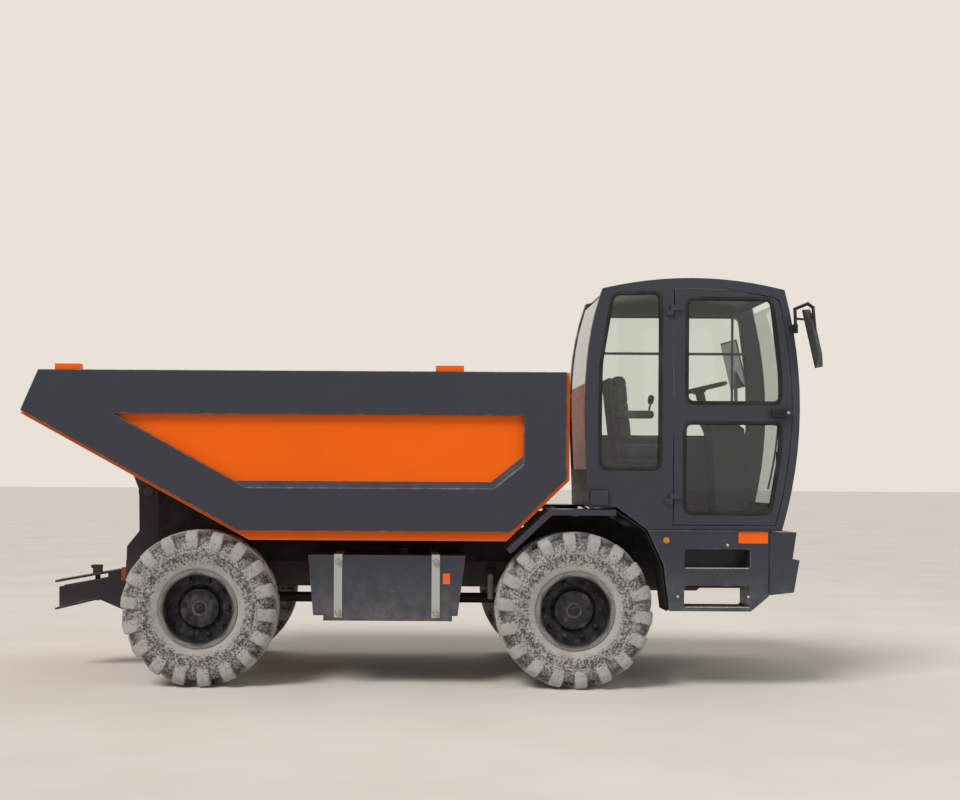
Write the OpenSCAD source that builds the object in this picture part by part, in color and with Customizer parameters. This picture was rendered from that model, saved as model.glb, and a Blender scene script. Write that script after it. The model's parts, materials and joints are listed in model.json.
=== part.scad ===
/* [Running gear] */
// Distance between the front and rear axles
wheelbase = 2570; // [2450:10:2700]
// Reach of the skip's tail behind the rear axle
rear_overhang = 1225; // [1215:1:1240]
// Reach of the towing jaw behind the rear axle
jaw_overhang = 1205; // [1190:1:1210]
// Reach of the mirrors ahead of the front axle
front_reach = 1675; // [1660:1:1690]
// Distance between the middles of the left and right tyres
track = 1790; // [1780:5:1830]
// Tyre diameter over the lugs
tyre_d = 1075; // [1050:5:1080]
// Tyre width
tyre_w = 400; // [380:5:410]
// Number of lugs along each side of a tyre
lug_count = 18; // [16:1:20]
// Height of the lugs above the tread
lug_h = 40; // [25:1:45]
// Width of the lugs along the tread
lug_w = 84; // [70:1:90]
// How far the inner end of a lug leads its outer end along the tread
lug_lead = 130; // [100:5:150]
// Diameter over the rim flanges
rim_d = 540; // [520:5:560]
// Diameter of the hub reduction housing seen in the rim
hub_d = 275; // [240:5:300]
// Radius of the wheel spindle
spindle_r = 55; // [45:1:65]
// Distance of the kingpins from the middle of the machine
kingpin_y = 740; // [730:1:750]
// Kingpin radius
kingpin_r = 28; // [22:1:34]
// Length of the steering arms along the machine
arm_reach = 225; // [215:1:235]
// Radius of the axle tubes
axle_tube_r = 92; // [80:1:100]
// Radius of the differential housings
diff_r = 185; // [160:1:190]

/* [Frame] */
// Height of the underside of the frame rails
rail_z = 650; // [640:1:670]
// Depth of the frame rails
rail_h = 180; // [160:1:200]
// Width of the frame rails
rail_w = 80; // [70:1:90]
// Distance of the rail centres from the middle of the machine
rail_y = 340; // [330:1:345]
// Plate thickness of the frame
plate = 12; // [10:1:16]

/* [Skip] */
// Width over the side frames of the skip
skip_w = 2160; // [2100:10:2200]
// Height of the skip rim
skip_top = 2165; // [2120:5:2200]
// Height of the underside of the skip floor
skip_bottom = 1010; // [1005:1:1020]
// How far the skip floor lies above the lower edge of its sides
floor_lift = 50; // [40:1:60]
// Thickness of the skip plates
skip_wall = 20; // [16:1:24]
// How far the side frames stand out from the side plates
frame_proud = 50; // [30:1:60]
// Depth of the top band of the side frames
top_band = 297; // [260:1:320]
// Radius of the pins on which the skip tips
tip_pin_r = 35; // [28:1:40]

/* [Cab] */
// Width of the cab
cab_w = 950; // [900:10:980]
// Distance of the door side from the middle of the machine
cab_side_y = 1040; // [1020:5:1050]
// Thickness of the cab walls and the door
cab_wall = 45; // [40:1:55]
// Thickness of the cab roof
roof_t = 60; // [50:1:70]
// Thickness of the glass
glass_t = 6; // [5:1:8]
// Gap around the door
door_gap = 6; // [5:1:10]
// Width of the front pillar beside the door
pillar_w = 50; // [45:1:60]

/* [Bodywork] */
// Half the width of the bumper and the step panels
body_y = 1050; // [1020:5:1060]
// Depth of the step panels across the machine
step_depth = 300; // [250:10:310]
// Thickness of the engine hood
hood_t = 25; // [20:1:30]
// Height of the top of the engine hood
hood_top = 1735; // [1680:5:1760]
// Thickness of the mudguards
guard_t = 14; // [10:1:18]

/* [Tanks] */
// Height of the side tanks
tank_h = 413; // [380:1:420]
// Width of each side tank across the machine
tank_w = 590; // [500:10:600]
// Width of the tank straps
strap_w = 55; // [40:1:60]

/* [Fits] */
// Gap at pins, rods and other parts that move on each other
fit = 0.3; // [0.2:0.05:0.5]

/* [Hidden] */
$fn = 64;

// Rear axle, and the reach behind the front axle: the origin lies under the middle of the machine
rear_x = -wheelbase;
rear_reach = wheelbase + rear_overhang;
front_axle_x = (rear_reach - front_reach) / 2;

// Heights are drawn with the axles at axle_z: the tyres carry the whole machine higher or lower by ride, and
// what stands around them keeps its distance
axle_z = 537.5;
ride = tyre_d / 2 - axle_z;
rail_top = rail_z + rail_h;
rail_in = rail_y - rail_w / 2;
rail_out = rail_y + rail_w / 2;
ink = "#3b3c44";
orange = "#f0690f";
black = "#1c1c1e";
steel = "#9a9a98";
glass = "#a8c4bc55";

// Points on a cubic curve between two parameters
function bez(c, t) = pow(1 - t, 3) * c[0] + 3 * pow(1 - t, 2) * t * c[1]
    + 3 * (1 - t) * t * t * c[2] + pow(t, 3) * c[3];
function slope(c, t) = 3 * pow(1 - t, 2) * (c[1] - c[0]) + 6 * (1 - t) * t * (c[2] - c[1])
    + 3 * t * t * (c[3] - c[2]);
function unit(v) = v / norm(v);
function turned(v) = [-v[1], v[0]];
// The curve moved to its left by d, in n steps from t0 to t1
function shifted(c, d, t0 = 0, t1 = 1, n = 12) =
    [for (i = [0:n]) let (t = t0 + (t1 - t0) * i / n) bez(c, t) + d * turned(unit(slope(c, t)))];
function reversed(p) = [for (i = [len(p) - 1:-1:0]) p[i]];
function band(c, d0, d1, t0 = 0, t1 = 1, n = 12) =
    concat(shifted(c, d0, t0, t1, n), reversed(shifted(c, d1, t0, t1, n)));
// An outline with each corner rounded over the length d on both sides
function round_corner(a, b, c, d, n = 5) = let (p = b + d * unit(a - b), q = b + d * unit(c - b))
    [for (i = [0:n]) let (t = i / n) pow(1 - t, 2) * p + 2 * t * (1 - t) * b + t * t * q];
function soft(p, d) = [for (i = [0:len(p) - 1])
    each round_corner(p[(i + len(p) - 1) % len(p)], p[i], p[(i + 1) % len(p)], d)];
// A strip of thickness t laid to the left of an open line of points
function left_of(p, i, t) = let (a = i == 0 ? unit(p[1] - p[0]) : unit(p[i] - p[i - 1]),
    b = i == len(p) - 1 ? a : unit(p[i + 1] - p[i]), m = unit(turned(a) + turned(b)))
    p[i] + m * t / (m * turned(a));
function strip(p, t) = concat(p, [for (i = [len(p) - 1:-1:0]) left_of(p, i, t)]);

// Everything below is drawn with the front axle over x = 0, and is set over the origin and on its tyres here
module place() translate([front_axle_x, 0, ride]) children();
module box(x, y, z) translate([x[0], y[0], z[0]]) cube([x[1] - x[0], y[1] - y[0], z[1] - z[0]]);
// A side outline of x and z, thick from y0 to y1
module slab(p, y0, y1) translate([0, y1, 0]) rotate([90, 0, 0]) linear_extrude(y1 - y0) polygon(p);
module rod_x(r, x, y, z) translate([x[0], y, z]) rotate([0, 90, 0]) cylinder(r = r, h = x[1] - x[0]);
module rod_y(r, x, y, z) translate([x, y[1], z]) rotate([90, 0, 0]) cylinder(r = r, h = y[1] - y[0]);
module rod_z(r, x, y, z) translate([x, y, z[0]]) cylinder(r = r, h = z[1] - z[0]);
// Left and right copies of what is drawn on the left
module both() {
    children();
    mirror([0, 1, 0]) children();
}

// Side outline of the skip, from the tail tip along the top and back under the floor
tail_angle = 28.69;
tail_clear = 41;
tail_x = -rear_reach;
floor_rear = [rear_x + (tyre_d / 2 + tail_clear - (skip_bottom - axle_z) * cos(tail_angle)) / sin(tail_angle),
    skip_bottom];
tail_tip = [tail_x, skip_bottom + (floor_rear[0] - tail_x) * tan(tail_angle)];
tail_top = [rear_x - 1095, skip_top];
front_top = [-41, skip_top];
front_knee = [-41, 1427 + ride];
floor_front = [-468 - ride, skip_bottom];
skip_outline = [tail_tip, tail_top, front_top, front_knee, floor_front, floor_rear];
plate_out = skip_w / 2 - frame_proud;
plate_in = plate_out - skip_wall;
tip_hinge = [rear_x - 450, 1330];
ear_y = 370;
ear_t = 40;
tower_y = 420;
tower_t = 40;

// Tipping cylinders: the frame pin, and the point where the rod's eye meets the skip
barrel_pin = [rear_x + 820, 700];
rod_pin = [rear_x - 30, 1100];
tip_cyl_y = 246;
tip_barrel_r = 42;
tip_rod_r = 26;
barrel_pin_r = 20;
tip_len = norm(rod_pin - barrel_pin);
tip_angle = atan2(rod_pin[1] - barrel_pin[1], rod_pin[0] - barrel_pin[0]);

// Cab outline curves: front, roof and back
cab_bottom = 1092;
arch_z = 1249;
cab_front_line = [[1411, cab_bottom], [1566, 1640], [1566, 2189], [1418, 2737]];
cab_roof_line = [[1418, 2737], [1005, 2841], [591, 2841], [178, 2743]];
cab_rear_line = [[178, 2743], [-2, 2245], [82, 1747], [87, arch_z]];
arch_line = [[87, arch_z], [281, arch_z], [493, cab_bottom], [1411, cab_bottom]];
cab_outline = concat(shifted(cab_front_line, 0), shifted(cab_roof_line, 0, 0.02),
    shifted(cab_rear_line, 0, 0.02), [arch_line[1], arch_line[2]]);
// The point of a rising line at height z
function at_height(p, z) = [for (i = [0:len(p) - 2]) if (p[i][1] <= z && p[i + 1][1] > z)
    p[i] + (p[i + 1] - p[i]) * (z - p[i][1]) / (p[i + 1][1] - p[i][1])];
// The part of the outline ahead of the door's rear edge, moved in by d
function door_shape(x, z, d) = let (front = shifted(cab_front_line, d, 0, 1 - d / 1500)) concat([[x, z]],
    at_height(front, z), [for (p = front) if (p[1] > z) p],
    [for (p = shifted(cab_roof_line, d * 1.3, d / 1100, 1)) if (p[0] > x) p],
    [[x, 2812 - 1.3 * d]]);
door_rear_x = 664;
door_sill = 1125;
wall_in = cab_side_y - cab_wall;
far_out = cab_side_y - cab_w;
far_in = far_out + cab_wall;
seat_y = -(wall_in + far_in) / 2;
quarter_window = soft([[245, 2712], [165, 2230], [160, 1850], [164, 1508], [581, 1508], [581, 2720]], 60);
door_top_window = soft([[752, 1960], [1401, 1960], [1398, 2160], [1335, 2680], [752, 2680]], 60);
door_low_window = soft([[740, 1206], [1332, 1206], [1395, 1600], [1407, 1831], [740, 1831]], 60);
far_window = soft([[245, 1750], [1401, 1750], [1398, 2150], [1335, 2660], [300, 2660]], 60);

// Door hinge, outside the cab wall
hinge_x = 650;
hinge_y = -cab_side_y - 14;
hinge_r = 13;
hinge_pin_r = 6;
hinge_zs = [1270, 2560];

// Engine hood hinge beside the cab
bulkhead_y = -far_out + 12;
bulkhead_t = 15;
hood_pivot_y = bulkhead_y + 32;
hood_pivot_z = hood_top - 14;
hood_rear_x = 300;

// Rolling parts, drawn with the wheel's middle at the origin and outside towards +y
bead_r = rim_d / 2 - 12;
flange_in = tyre_w * 0.42;
bead_y = flange_in - 8;
side_lug = 12;
lug_foot = tyre_d * 0.375;
shoulder_y = tyre_w * 0.36;
shoulder_drop = 32;
// Half section of the tyre, out to the lugs' tips or cut back to the tread between them
function tyre_half(crown_cut, side_cut) = [[bead_r, bead_y], [rim_d / 2 + 30, tyre_w / 2 - 16],
    [lug_foot, tyre_w / 2 - side_cut], [tyre_d / 2 - shoulder_drop - crown_cut, tyre_w / 2 - side_cut * 1.6],
    [tyre_d / 2 - crown_cut, shoulder_y - side_cut]];
function mirrored(p) = [for (q = reversed(p)) [q[0], -q[1]]];
module turned_tyre(half) rotate([-90, 0, 0]) rotate_extrude($fn = 54) polygon(concat(half, mirrored(half)));
module lug() translate([0, 0, lug_foot + side_lug]) linear_extrude(tyre_d / 2 - lug_foot) polygon([
    [-lug_w / 2, tyre_w / 2 + 5], [-lug_w / 2, shoulder_y - 20], [-lug_w / 2 + lug_lead, 8],
    [lug_w / 2 + lug_lead, 8], [lug_w / 2, shoulder_y - 20], [lug_w / 2, tyre_w / 2 + 5]]);
module tyre() color("#8b8884") {
    turned_tyre(tyre_half(lug_h, side_lug));
    intersection() {
        turned_tyre(tyre_half(0, 0));
        for (i = [0:lug_count - 1]) {
            rotate([0, 360 * (i + 0.25) / lug_count, 0]) lug();
            rotate([0, 360 * (i - 0.25) / lug_count, 0]) mirror([0, 1, 0]) lug();
        }
    }
}
flange_y = flange_in + 8;
disc_y = 20;
barrel_r = bead_r - 20;
module rim() color(black) rotate([-90, 0, 0]) rotate_extrude($fn = 96) polygon([
    [spindle_r + fit, disc_y], [barrel_r - 14, disc_y], [barrel_r - 14, -flange_y], [rim_d / 2, -flange_y],
    [rim_d / 2, -flange_in], [bead_r, -flange_in], [bead_r, flange_in], [rim_d / 2, flange_in],
    [rim_d / 2, flange_y], [barrel_r - 6, flange_y], [barrel_r - 14, disc_y + 16],
    [hub_d / 2 + 20, disc_y + 16], [hub_d / 2, disc_y + 30], [hub_d / 2 - 6, disc_y + 62],
    [spindle_r + fit, disc_y + 70]]);

// Knuckle, drawn on the left with its kingpin over the origin and its arm towards +x
fork_gap = 125;
fork_t = 36;
knuckle_r = 70;
arm_in = 70;
arm_t = 26;
arm_top = -50;
wheel_off = track / 2 - kingpin_y;
module knuckle() color(black) {
    rod_z(knuckle_r, 0, 0, [-fork_gap + fit, fork_gap - fit]);
    rod_z(kingpin_r, 0, 0, [-fork_gap - fork_t - 12, fork_gap + fork_t + 12]);
    rod_y(110, 0, [40, wheel_off + disc_y - 6], 0);
    rod_y(spindle_r, 0, [40, wheel_off + disc_y + 66], 0);
    translate([0, 0, arm_top - arm_t]) linear_extrude(arm_t)
        polygon([[0, 50], [0, -30], [120, -25], [arm_reach - 14, -arm_in - 20], [arm_reach + 20, -arm_in],
            [arm_reach + 10, -arm_in + 26], [90, 50]]);
}

// Axle, drawn at the front with the fork of each end on its kingpin
seat_w = 130;
cyl_len = 380;
cyl_r = 42;
rod_r = 18;
rod_z0 = arm_top + 28;
module axle() color(black) difference() {
    union() {
        rotate([-90, 0, 0]) rotate_extrude() polygon([[0, -200], [diff_r * 0.55, -200], [diff_r, -90],
            [diff_r, 90], [diff_r * 0.55, 200], [0, 200]]);
        rod_y(axle_tube_r, 0, [-kingpin_y + 95, kingpin_y - 95], 0);
        both() {
            box([-75, 75], [kingpin_y - 130, kingpin_y - 85], [-fork_gap - fork_t, fork_gap + fork_t]);
            for (z = [-fork_gap - fork_t, fork_gap]) {
                rod_z(60, 0, kingpin_y, [z, z + fork_t]);
                box([-60, 60], [kingpin_y - 100, kingpin_y], [z, z + fork_t]);
            }
            box([-seat_w / 2, seat_w / 2], [rail_in, rail_out], [0, rail_z - axle_z]);
        }
        rod_y(cyl_r, arm_reach, [-cyl_len / 2, cyl_len / 2], rod_z0);
        box([0, arm_reach], [-70, 70], [rod_z0 - 30, rod_z0 + 30]);
    }
    both() rod_z(kingpin_r + fit, 0, kingpin_y, [-fork_gap - fork_t - 1, fork_gap + fork_t + 1]);
    rod_y(rod_r + fit, arm_reach, [-cyl_len, cyl_len], rod_z0);
}
rod_end_y = kingpin_y - arm_in;
module steer_rod() color(steel) {
    rod_y(rod_r, arm_reach, [-rod_end_y, rod_end_y], rod_z0);
    both() rod_z(26, arm_reach, rod_end_y, [arm_top + 5, rod_z0 + 20]);
}

// A round bar between two points
module tube(p, q, r) {
    d = q - p;
    translate(p) rotate([0, acos(d[2] / norm(d)), atan2(d[1], d[0])]) cylinder(r = r, h = norm(d), $fn = 32);
}

// Frame
frame_rear = rear_x - 610;
frame_front = 1322;
deck = [cab_bottom - 52, cab_bottom];
deck_y = body_y - step_depth;
gear_len = 620;
gear_front = rear_x / 2 + 405;
gear_rear = gear_front - gear_len;
cross_xs = [[rear_x + 270, rear_x + 330], [gear_rear - 60, gear_rear], [gear_front, gear_front + 60],
    [330, 390], [1250, frame_front]];
sub_z = skip_bottom - 90;
guard_top = 1230;
tank_rear = rear_x + 745;
tank_front = -745;
strap_xs = [[tank_rear + 178, tank_rear + 178 + strap_w], [tank_front - 232, tank_front - 232 + strap_w]];
tower = [[frame_rear, rail_z], [tip_hinge[0] - 154, 932], [tip_hinge[0] - 64, 1044],
    [tip_hinge[0] - 68, tip_hinge[1]], [tip_hinge[0] + 65, tip_hinge[1]], [tip_hinge[0] + 120, 1000],
    [tip_hinge[0] + 240, rail_top], [tip_hinge[0] + 240, rail_z]];
module rail() translate([frame_rear, 0, 0]) rotate([90, 0, 90]) linear_extrude(frame_front - frame_rear)
    polygon([[rail_out, rail_z], [rail_out, rail_top], [rail_in, rail_top], [rail_in, rail_top - plate],
        [rail_out - plate, rail_top - plate], [rail_out - plate, rail_z + plate], [rail_in, rail_z + plate],
        [rail_in, rail_z]]);
module frame() color(black) place() {
    difference() {
        union() {
            for (x = cross_xs)
                box(x, [-rail_out + plate, rail_out - plate], [rail_z + plate, rail_top - plate]);
            box([frame_rear, frame_rear + 190], [-tower_y - tower_t / 2, tower_y + tower_t / 2],
                [rail_z, rail_top]);
            both() {
                rail();
                slab(tower, tower_y - tower_t / 2, tower_y + tower_t / 2);
                rod_y(72, tip_hinge[0], [tower_y - tower_t / 2, tower_y + tower_t / 2], tip_hinge[1]);
                box([-700, -560], [rail_in, rail_out], [rail_top, sub_z - fit]);
                for (x = strap_xs) box(x, [rail_out, rail_out + 20], [rail_z, rail_top]);
                rod_y(45, barrel_pin[0], [tip_cyl_y + tip_barrel_r + 4, rail_out], barrel_pin[1]);
                rod_y(barrel_pin_r, barrel_pin[0], [tip_cyl_y - tip_barrel_r, rail_out], barrel_pin[1]);
            }
        }
        both() rod_y(tip_pin_r + fit, tip_hinge[0], [tower_y - tower_t, tower_y + tower_t], tip_hinge[1]);
    }
}

// Deck under the cab and the hood, open under the engine, on posts on the rails
deck_rear = 493;
module front_deck() color(black) place() {
    difference() {
        box([deck_rear, frame_front], [-deck_y, deck_y], deck);
        box([640, 1170], [90, 690], [deck[0] - 1, deck[1] + 1]);
    }
    both() for (x = [[500, 620], [1190, frame_front]]) box(x, [rail_in, rail_out], [rail_top, deck[0]]);
}

// Rear towing jaw, drawn from its rear end: two lips on a box that droops to the rear, bored for a drop pin
draw_len = frame_rear - rear_x + jaw_overhang;
jaw_depth = 395;
jaw_pin_at = 300;
jaw_pin_r = 20;
jaw_y = 95;
jaw_wall = 20;
lip_t = 16;
lip_gap = 30;
// Undersides of the two lips at x
function upper_lip(x) = 640 + 0.18 * x;
function lower_lip(x) = 435 + 0.243 * x;
gusset_x = 330;
gusset_z = 420;
module tow_hitch() color(black) place() translate([rear_x - jaw_overhang, 0, 0]) difference() {
    union() {
        slab([[0, upper_lip(0)], [0, upper_lip(0) + lip_t], [draw_len, upper_lip(draw_len) + lip_t],
            [draw_len, upper_lip(draw_len)]], -jaw_y, jaw_y);
        slab([[0, lower_lip(0)], [0, lower_lip(0) + lip_t], [gusset_x, lower_lip(gusset_x) + lip_t],
            [gusset_x, lower_lip(gusset_x)]], -jaw_y, jaw_y);
        both() slab([[lip_gap, lower_lip(lip_gap) + lip_t / 2], [gusset_x, lower_lip(gusset_x)],
            [draw_len - 40, gusset_z], [draw_len - 40, upper_lip(draw_len - 40) - lip_gap],
            [lip_gap, upper_lip(0) - lip_gap]], jaw_y - 5 - jaw_wall, jaw_y - 5);
        slab([[jaw_depth, lower_lip(gusset_x)], [jaw_depth, upper_lip(jaw_depth) + lip_t / 2],
            [draw_len, upper_lip(draw_len) + lip_t / 2], [draw_len, gusset_z + 10]], 5 - jaw_y, jaw_y - 5);
        box([draw_len - 40, draw_len], [-150, 150], [gusset_z, rail_top - 50]);
    }
    rod_z(jaw_pin_r + fit, jaw_pin_at, 0, [gusset_z, rail_top]);
}

// Side tanks, drawn on the left
tank_top = 906;
tank_z = tank_top - tank_h;
tank_y = rail_out + 20;
tank_side = [[tank_rear, tank_top], [tank_front, tank_top], [tank_front - 54, tank_z],
    [tank_front - 91, tank_z], [tank_front - 91, tank_z - 36], [tank_rear + 105, tank_z - 36],
    [tank_rear + 105, tank_z], [tank_rear + 35, tank_z]];
module tank() color(ink) place() {
    slab(tank_side, tank_y, tank_y + tank_w);
    for (x = strap_xs) box(x, [tank_y + 40, tank_y + tank_w + 5], [tank_z + 1, tank_top + 5]);
    rod_z(22, (tank_rear + tank_front) / 2, tank_y + tank_w / 2, [tank_z - 48, tank_z - 36]);
}
module fuel_tank() mirror([0, 1, 0]) tank();
module hydraulic_tank() tank();

// Engine block under the hood, and the gearbox with its two shafts
module engine() color("#4a4c50") place() {
    box([660, 1150], [150, 640], [rail_top + 20, 1320]);
    box([690, 1120], [220, 570], [1320, 1540]);
    for (x = [680, 1060]) box([x, x + 70], [rail_in, rail_out], [rail_top, rail_top + 20]);
}
module driveline() color("#45474b") place() {
    box([gear_rear, gear_front], [-180, 180], [480, 800]);
    rod_x(75, [gear_front, gear_front + 40], 0, axle_z);
    rod_x(38, [gear_front + 40, -diff_r], 0, axle_z);
    rod_x(75, [gear_rear - 40, gear_rear], 0, axle_z);
    rod_x(38, [rear_x + diff_r, gear_rear - 40], 0, axle_z);
}

module front_axle() place() translate([0, 0, axle_z]) axle();
module rear_axle() place() translate([rear_x, 0, axle_z]) mirror([1, 0, 0]) axle();
module steer_rod_front() place() translate([0, 0, axle_z]) steer_rod();
module steer_rod_rear() place() translate([rear_x, 0, axle_z]) mirror([1, 0, 0]) steer_rod();

// One wheel station: 1 or -1 gives front or rear, left or right
module station(end, side) place() translate([end > 0 ? 0 : rear_x, 0, axle_z])
    mirror([end > 0 ? 0 : 1, 0, 0]) mirror([0, side > 0 ? 0 : 1, 0]) translate([0, kingpin_y, 0]) children();
module hub_face() translate([0, wheel_off, 0]) children();

// Skip
skip_under = [tail_tip, floor_rear, floor_front, front_knee];
lifted_front = floor_front + (front_knee - floor_front) * floor_lift / (front_knee[1] - floor_front[1]);
shell_line = [left_of(skip_under, 0, floor_lift), left_of(skip_under, 1, floor_lift), lifted_front,
    front_knee, front_top];
skip_shell = strip(shell_line, skip_wall);
far = 6000;
module skip_floor() color(orange) place() intersection() {
    slab(skip_shell, -plate_in, plate_in);
    box([-far, floor_front[0]], [-far, far], [0, far]);
}
module skip_front() color(orange) place() intersection() {
    slab(skip_shell, -plate_in, plate_in);
    box([floor_front[0], far], [-far, far], [0, far]);
}
rim_lugs = [[rear_x - 985, rear_x - 807], [-959, -767]];
module skip_sides() color(orange) place() both() {
    slab(skip_outline, plate_in, plate_out);
    for (x = rim_lugs) box(x, [plate_in - 20, plate_out + 30], [skip_top, skip_top + 41]);
}
frame_side = [tail_tip + [9, 20], tail_top, [front_top[0] - 25, skip_top], front_knee + [-25, 11],
    [floor_front[0] + 31, skip_bottom + 65], [floor_rear[0] - 73, skip_bottom + 65]];
panel_top = skip_top - top_band;
panel_front = [-356, 1534 + ride];
panel_knee = [-562 - ride, 1368];
panel_rear = [rear_x + 323, 1368];
panel_side = [[rear_x - 588, panel_top], [panel_front[0], panel_top], panel_front, panel_knee, panel_rear];
// Outline of the recess at the side plate, where its lower edges have sloped in
bevel_w = 50;
panel_low = [panel_rear, panel_knee, panel_front];
recess_side = [panel_side[0], panel_side[1],
    panel_front + [0, bevel_w * norm(panel_front - panel_knee) / (panel_front[0] - panel_knee[0])],
    left_of(panel_low, 1, bevel_w),
    panel_rear + (panel_side[0] - panel_rear) * bevel_w / (panel_top - panel_rear[1])];
module skip_side_frames() color(ink) place() both() difference() {
    slab(frame_side, plate_out, skip_w / 2);
    hull() {
        slab(panel_side, skip_w / 2, skip_w / 2 + 1);
        slab(recess_side, plate_out - 1, plate_out);
    }
}
// Height of the underside of the sloping tail at x
function tail_z(x) = shell_line[1][1] + (shell_line[1][0] - x) * (tail_tip[1] - floor_rear[1])
    / (floor_rear[0] - tail_tip[0]) - fit;
ear_front = tip_hinge[0] + 240;
ear_rear = tip_hinge[0] - 180;
module skip_subframe() color(ink) place() both() {
    box([floor_rear[0], floor_front[0] - 32], [rail_in, rail_out], [sub_z, skip_bottom + floor_lift]);
    slab([[ear_front, tail_z(ear_front)], [ear_rear, tail_z(ear_rear)],
        [tip_hinge[0] - 65, tip_hinge[1] - 20], [tip_hinge[0] - 20, tip_hinge[1] - 58], [tip_hinge[0] + 20, tip_hinge[1] - 58]],
        ear_y - ear_t / 2, ear_y + ear_t / 2);
    rod_y(60, tip_hinge[0], [ear_y - ear_t / 2, ear_y + ear_t / 2], tip_hinge[1]);
    rod_y(tip_pin_r, tip_hinge[0], [ear_y, tower_y + tower_t / 2 + 15], tip_hinge[1]);
    for (y = [tip_cyl_y - 42, tip_cyl_y + 30])
        slab([[rod_pin[0] + 130, tail_z(rod_pin[0] + 130)], [rod_pin[0] - 180, tail_z(rod_pin[0] - 180)],
            [rod_pin[0] - 90, rod_pin[1] - 40], [rod_pin[0] + 40, rod_pin[1] - 60]], y, y + 12);
}

// Tipping cylinders
module along_cylinder() translate([barrel_pin[0], tip_cyl_y, barrel_pin[1]]) rotate([0, 90 - tip_angle, 0])
    children();
module tip_barrels() color(black) place() both() along_cylinder() difference() {
    union() {
        cylinder(r = tip_barrel_r, h = tip_len * 0.74);
        rod_y(tip_barrel_r, 0, [-22, 22], 0);
    }
    rod_y(barrel_pin_r + fit, 0, [-50, 50], 0);
    translate([0, 0, tip_len * 0.3]) cylinder(r = tip_rod_r + fit, h = tip_len);
}
module tip_rods() color(steel) place() both() along_cylinder() {
    translate([0, 0, tip_len * 0.32]) cylinder(r = tip_rod_r, h = tip_len * 0.68);
    translate([0, 0, tip_len]) rod_y(36, 0, [-20, 20], 0);
}

// Cab
module cab_floor() color(ink) place()
    slab(strip([[130, arch_z], arch_line[1], arch_line[2], [1366, cab_bottom]], 35), -wall_in, -far_in);
module cab_right_side() color(ink) place() difference() {
    union() {
        slab(cab_outline, -cab_side_y, -wall_in);
        for (z = hinge_zs) {
            rod_z(hinge_r, hinge_x, hinge_y, [z, z + 34]);
            box([hinge_x - 40, hinge_x], [hinge_y - hinge_r, -cab_side_y], [z, z + 34]);
            rod_z(hinge_pin_r, hinge_x, hinge_y, [z, z + 70]);
        }
    }
    slab(quarter_window, -cab_side_y - 1, -wall_in + 1);
    slab(door_shape(door_rear_x, door_sill, pillar_w), -cab_side_y - 1, -wall_in + 1);
}
module cab_left_side() color(ink) place() {
    difference() {
        slab(cab_outline, -far_in, -far_out);
        slab(far_window, -far_in - 1, -far_out + 1);
    }
    box([1263, 1283], [-far_in, -far_in + 15], [1740, 2670]);
    box([230, 1380], [-far_in, -far_in + 15], [2365, 2385]);
}
screen_t = 0.107;
back_t = 0.825;
module cab_front() color(ink) place() slab(band(cab_front_line, 0, 40, 0, screen_t), -wall_in, -far_in);
module cab_rear() color(ink) place() slab(band(cab_rear_line, 0, 40, back_t, 1), -wall_in, -far_in);
module cab_roof() color(ink) place() slab(band(cab_roof_line, 0, roof_t, 0.03, 0.97), -wall_in, -far_in);
glass_in = 8;
module cab_glass() color(glass) place() {
    slab(band(cab_front_line, glass_in, glass_in + glass_t, screen_t, 0.962), -wall_in, -far_in);
    slab(band(cab_rear_line, glass_in, glass_in + glass_t, 0.036, back_t), -wall_in, -far_in);
    slab(quarter_window, -cab_side_y + 20, -cab_side_y + 20 + glass_t);
    slab(far_window, -far_out - 20, -far_out - 20 + glass_t);
}
module door() color(ink) place() difference() {
    union() {
        slab(door_shape(door_rear_x + door_gap, door_sill + door_gap, pillar_w + door_gap),
            -cab_side_y, -wall_in);
        for (z = hinge_zs) {
            rod_z(hinge_r, hinge_x, hinge_y, [z + 34 + fit, z + 68]);
            box([hinge_x, door_rear_x + 50], [hinge_y - hinge_r, -cab_side_y], [z + 34 + fit, z + 68]);
        }
        box([1335, 1450], [-cab_side_y - 28, -cab_side_y], [1875, 1915]);
    }
    slab(door_top_window, -cab_side_y - 1, -wall_in + 1);
    slab(door_low_window, -cab_side_y - 1, -wall_in + 1);
    for (z = hinge_zs) rod_z(hinge_pin_r + fit, hinge_x, hinge_y, [z, z + 80]);
}
module door_glass() color(glass) place() for (w = [door_top_window, door_low_window])
    slab(w, -cab_side_y + 20, -cab_side_y + 20 + glass_t);

// Seat and controls
seat_w2 = 235;
cushion_z = 1580;
floor_top = cab_bottom + 35;
back_z = [cushion_z + 118, 2184];
// Front of the leaning back plate at height z
function back_x(z) = 350 - (z - cushion_z) * 0.12;
module seat_base() color(black) place() {
    box([530, 780], [seat_y - 170, seat_y + 170], [floor_top, cushion_z - 20]);
    box([330, 800], [seat_y - 200, seat_y + 200], [cushion_z - 20, cushion_z]);
    slab([[back_x(cushion_z) - 20, cushion_z], [back_x(cushion_z), cushion_z], [back_x(2150), 2150],
        [back_x(2150) - 20, 2150]], seat_y - 180, seat_y + 180);
}
module seat_cushion() color(black) place()
    slab(soft([[372, cushion_z + fit], [830, cushion_z + fit], [840, 1680], [366, 1690]], 20),
        seat_y - seat_w2, seat_y + seat_w2);
module seat_back() color(black) place()
    slab(soft([[back_x(back_z[0]) + fit, back_z[0]], [back_x(back_z[0]) + 95, back_z[0]],
        [back_x(back_z[1]) + 105, back_z[1]], [back_x(back_z[1]) + fit, back_z[1]]], 20),
        seat_y - seat_w2, seat_y + seat_w2);
wheel_tilt = 13.5;
wheel_at = [935, 2085];
column_len = 190;
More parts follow.
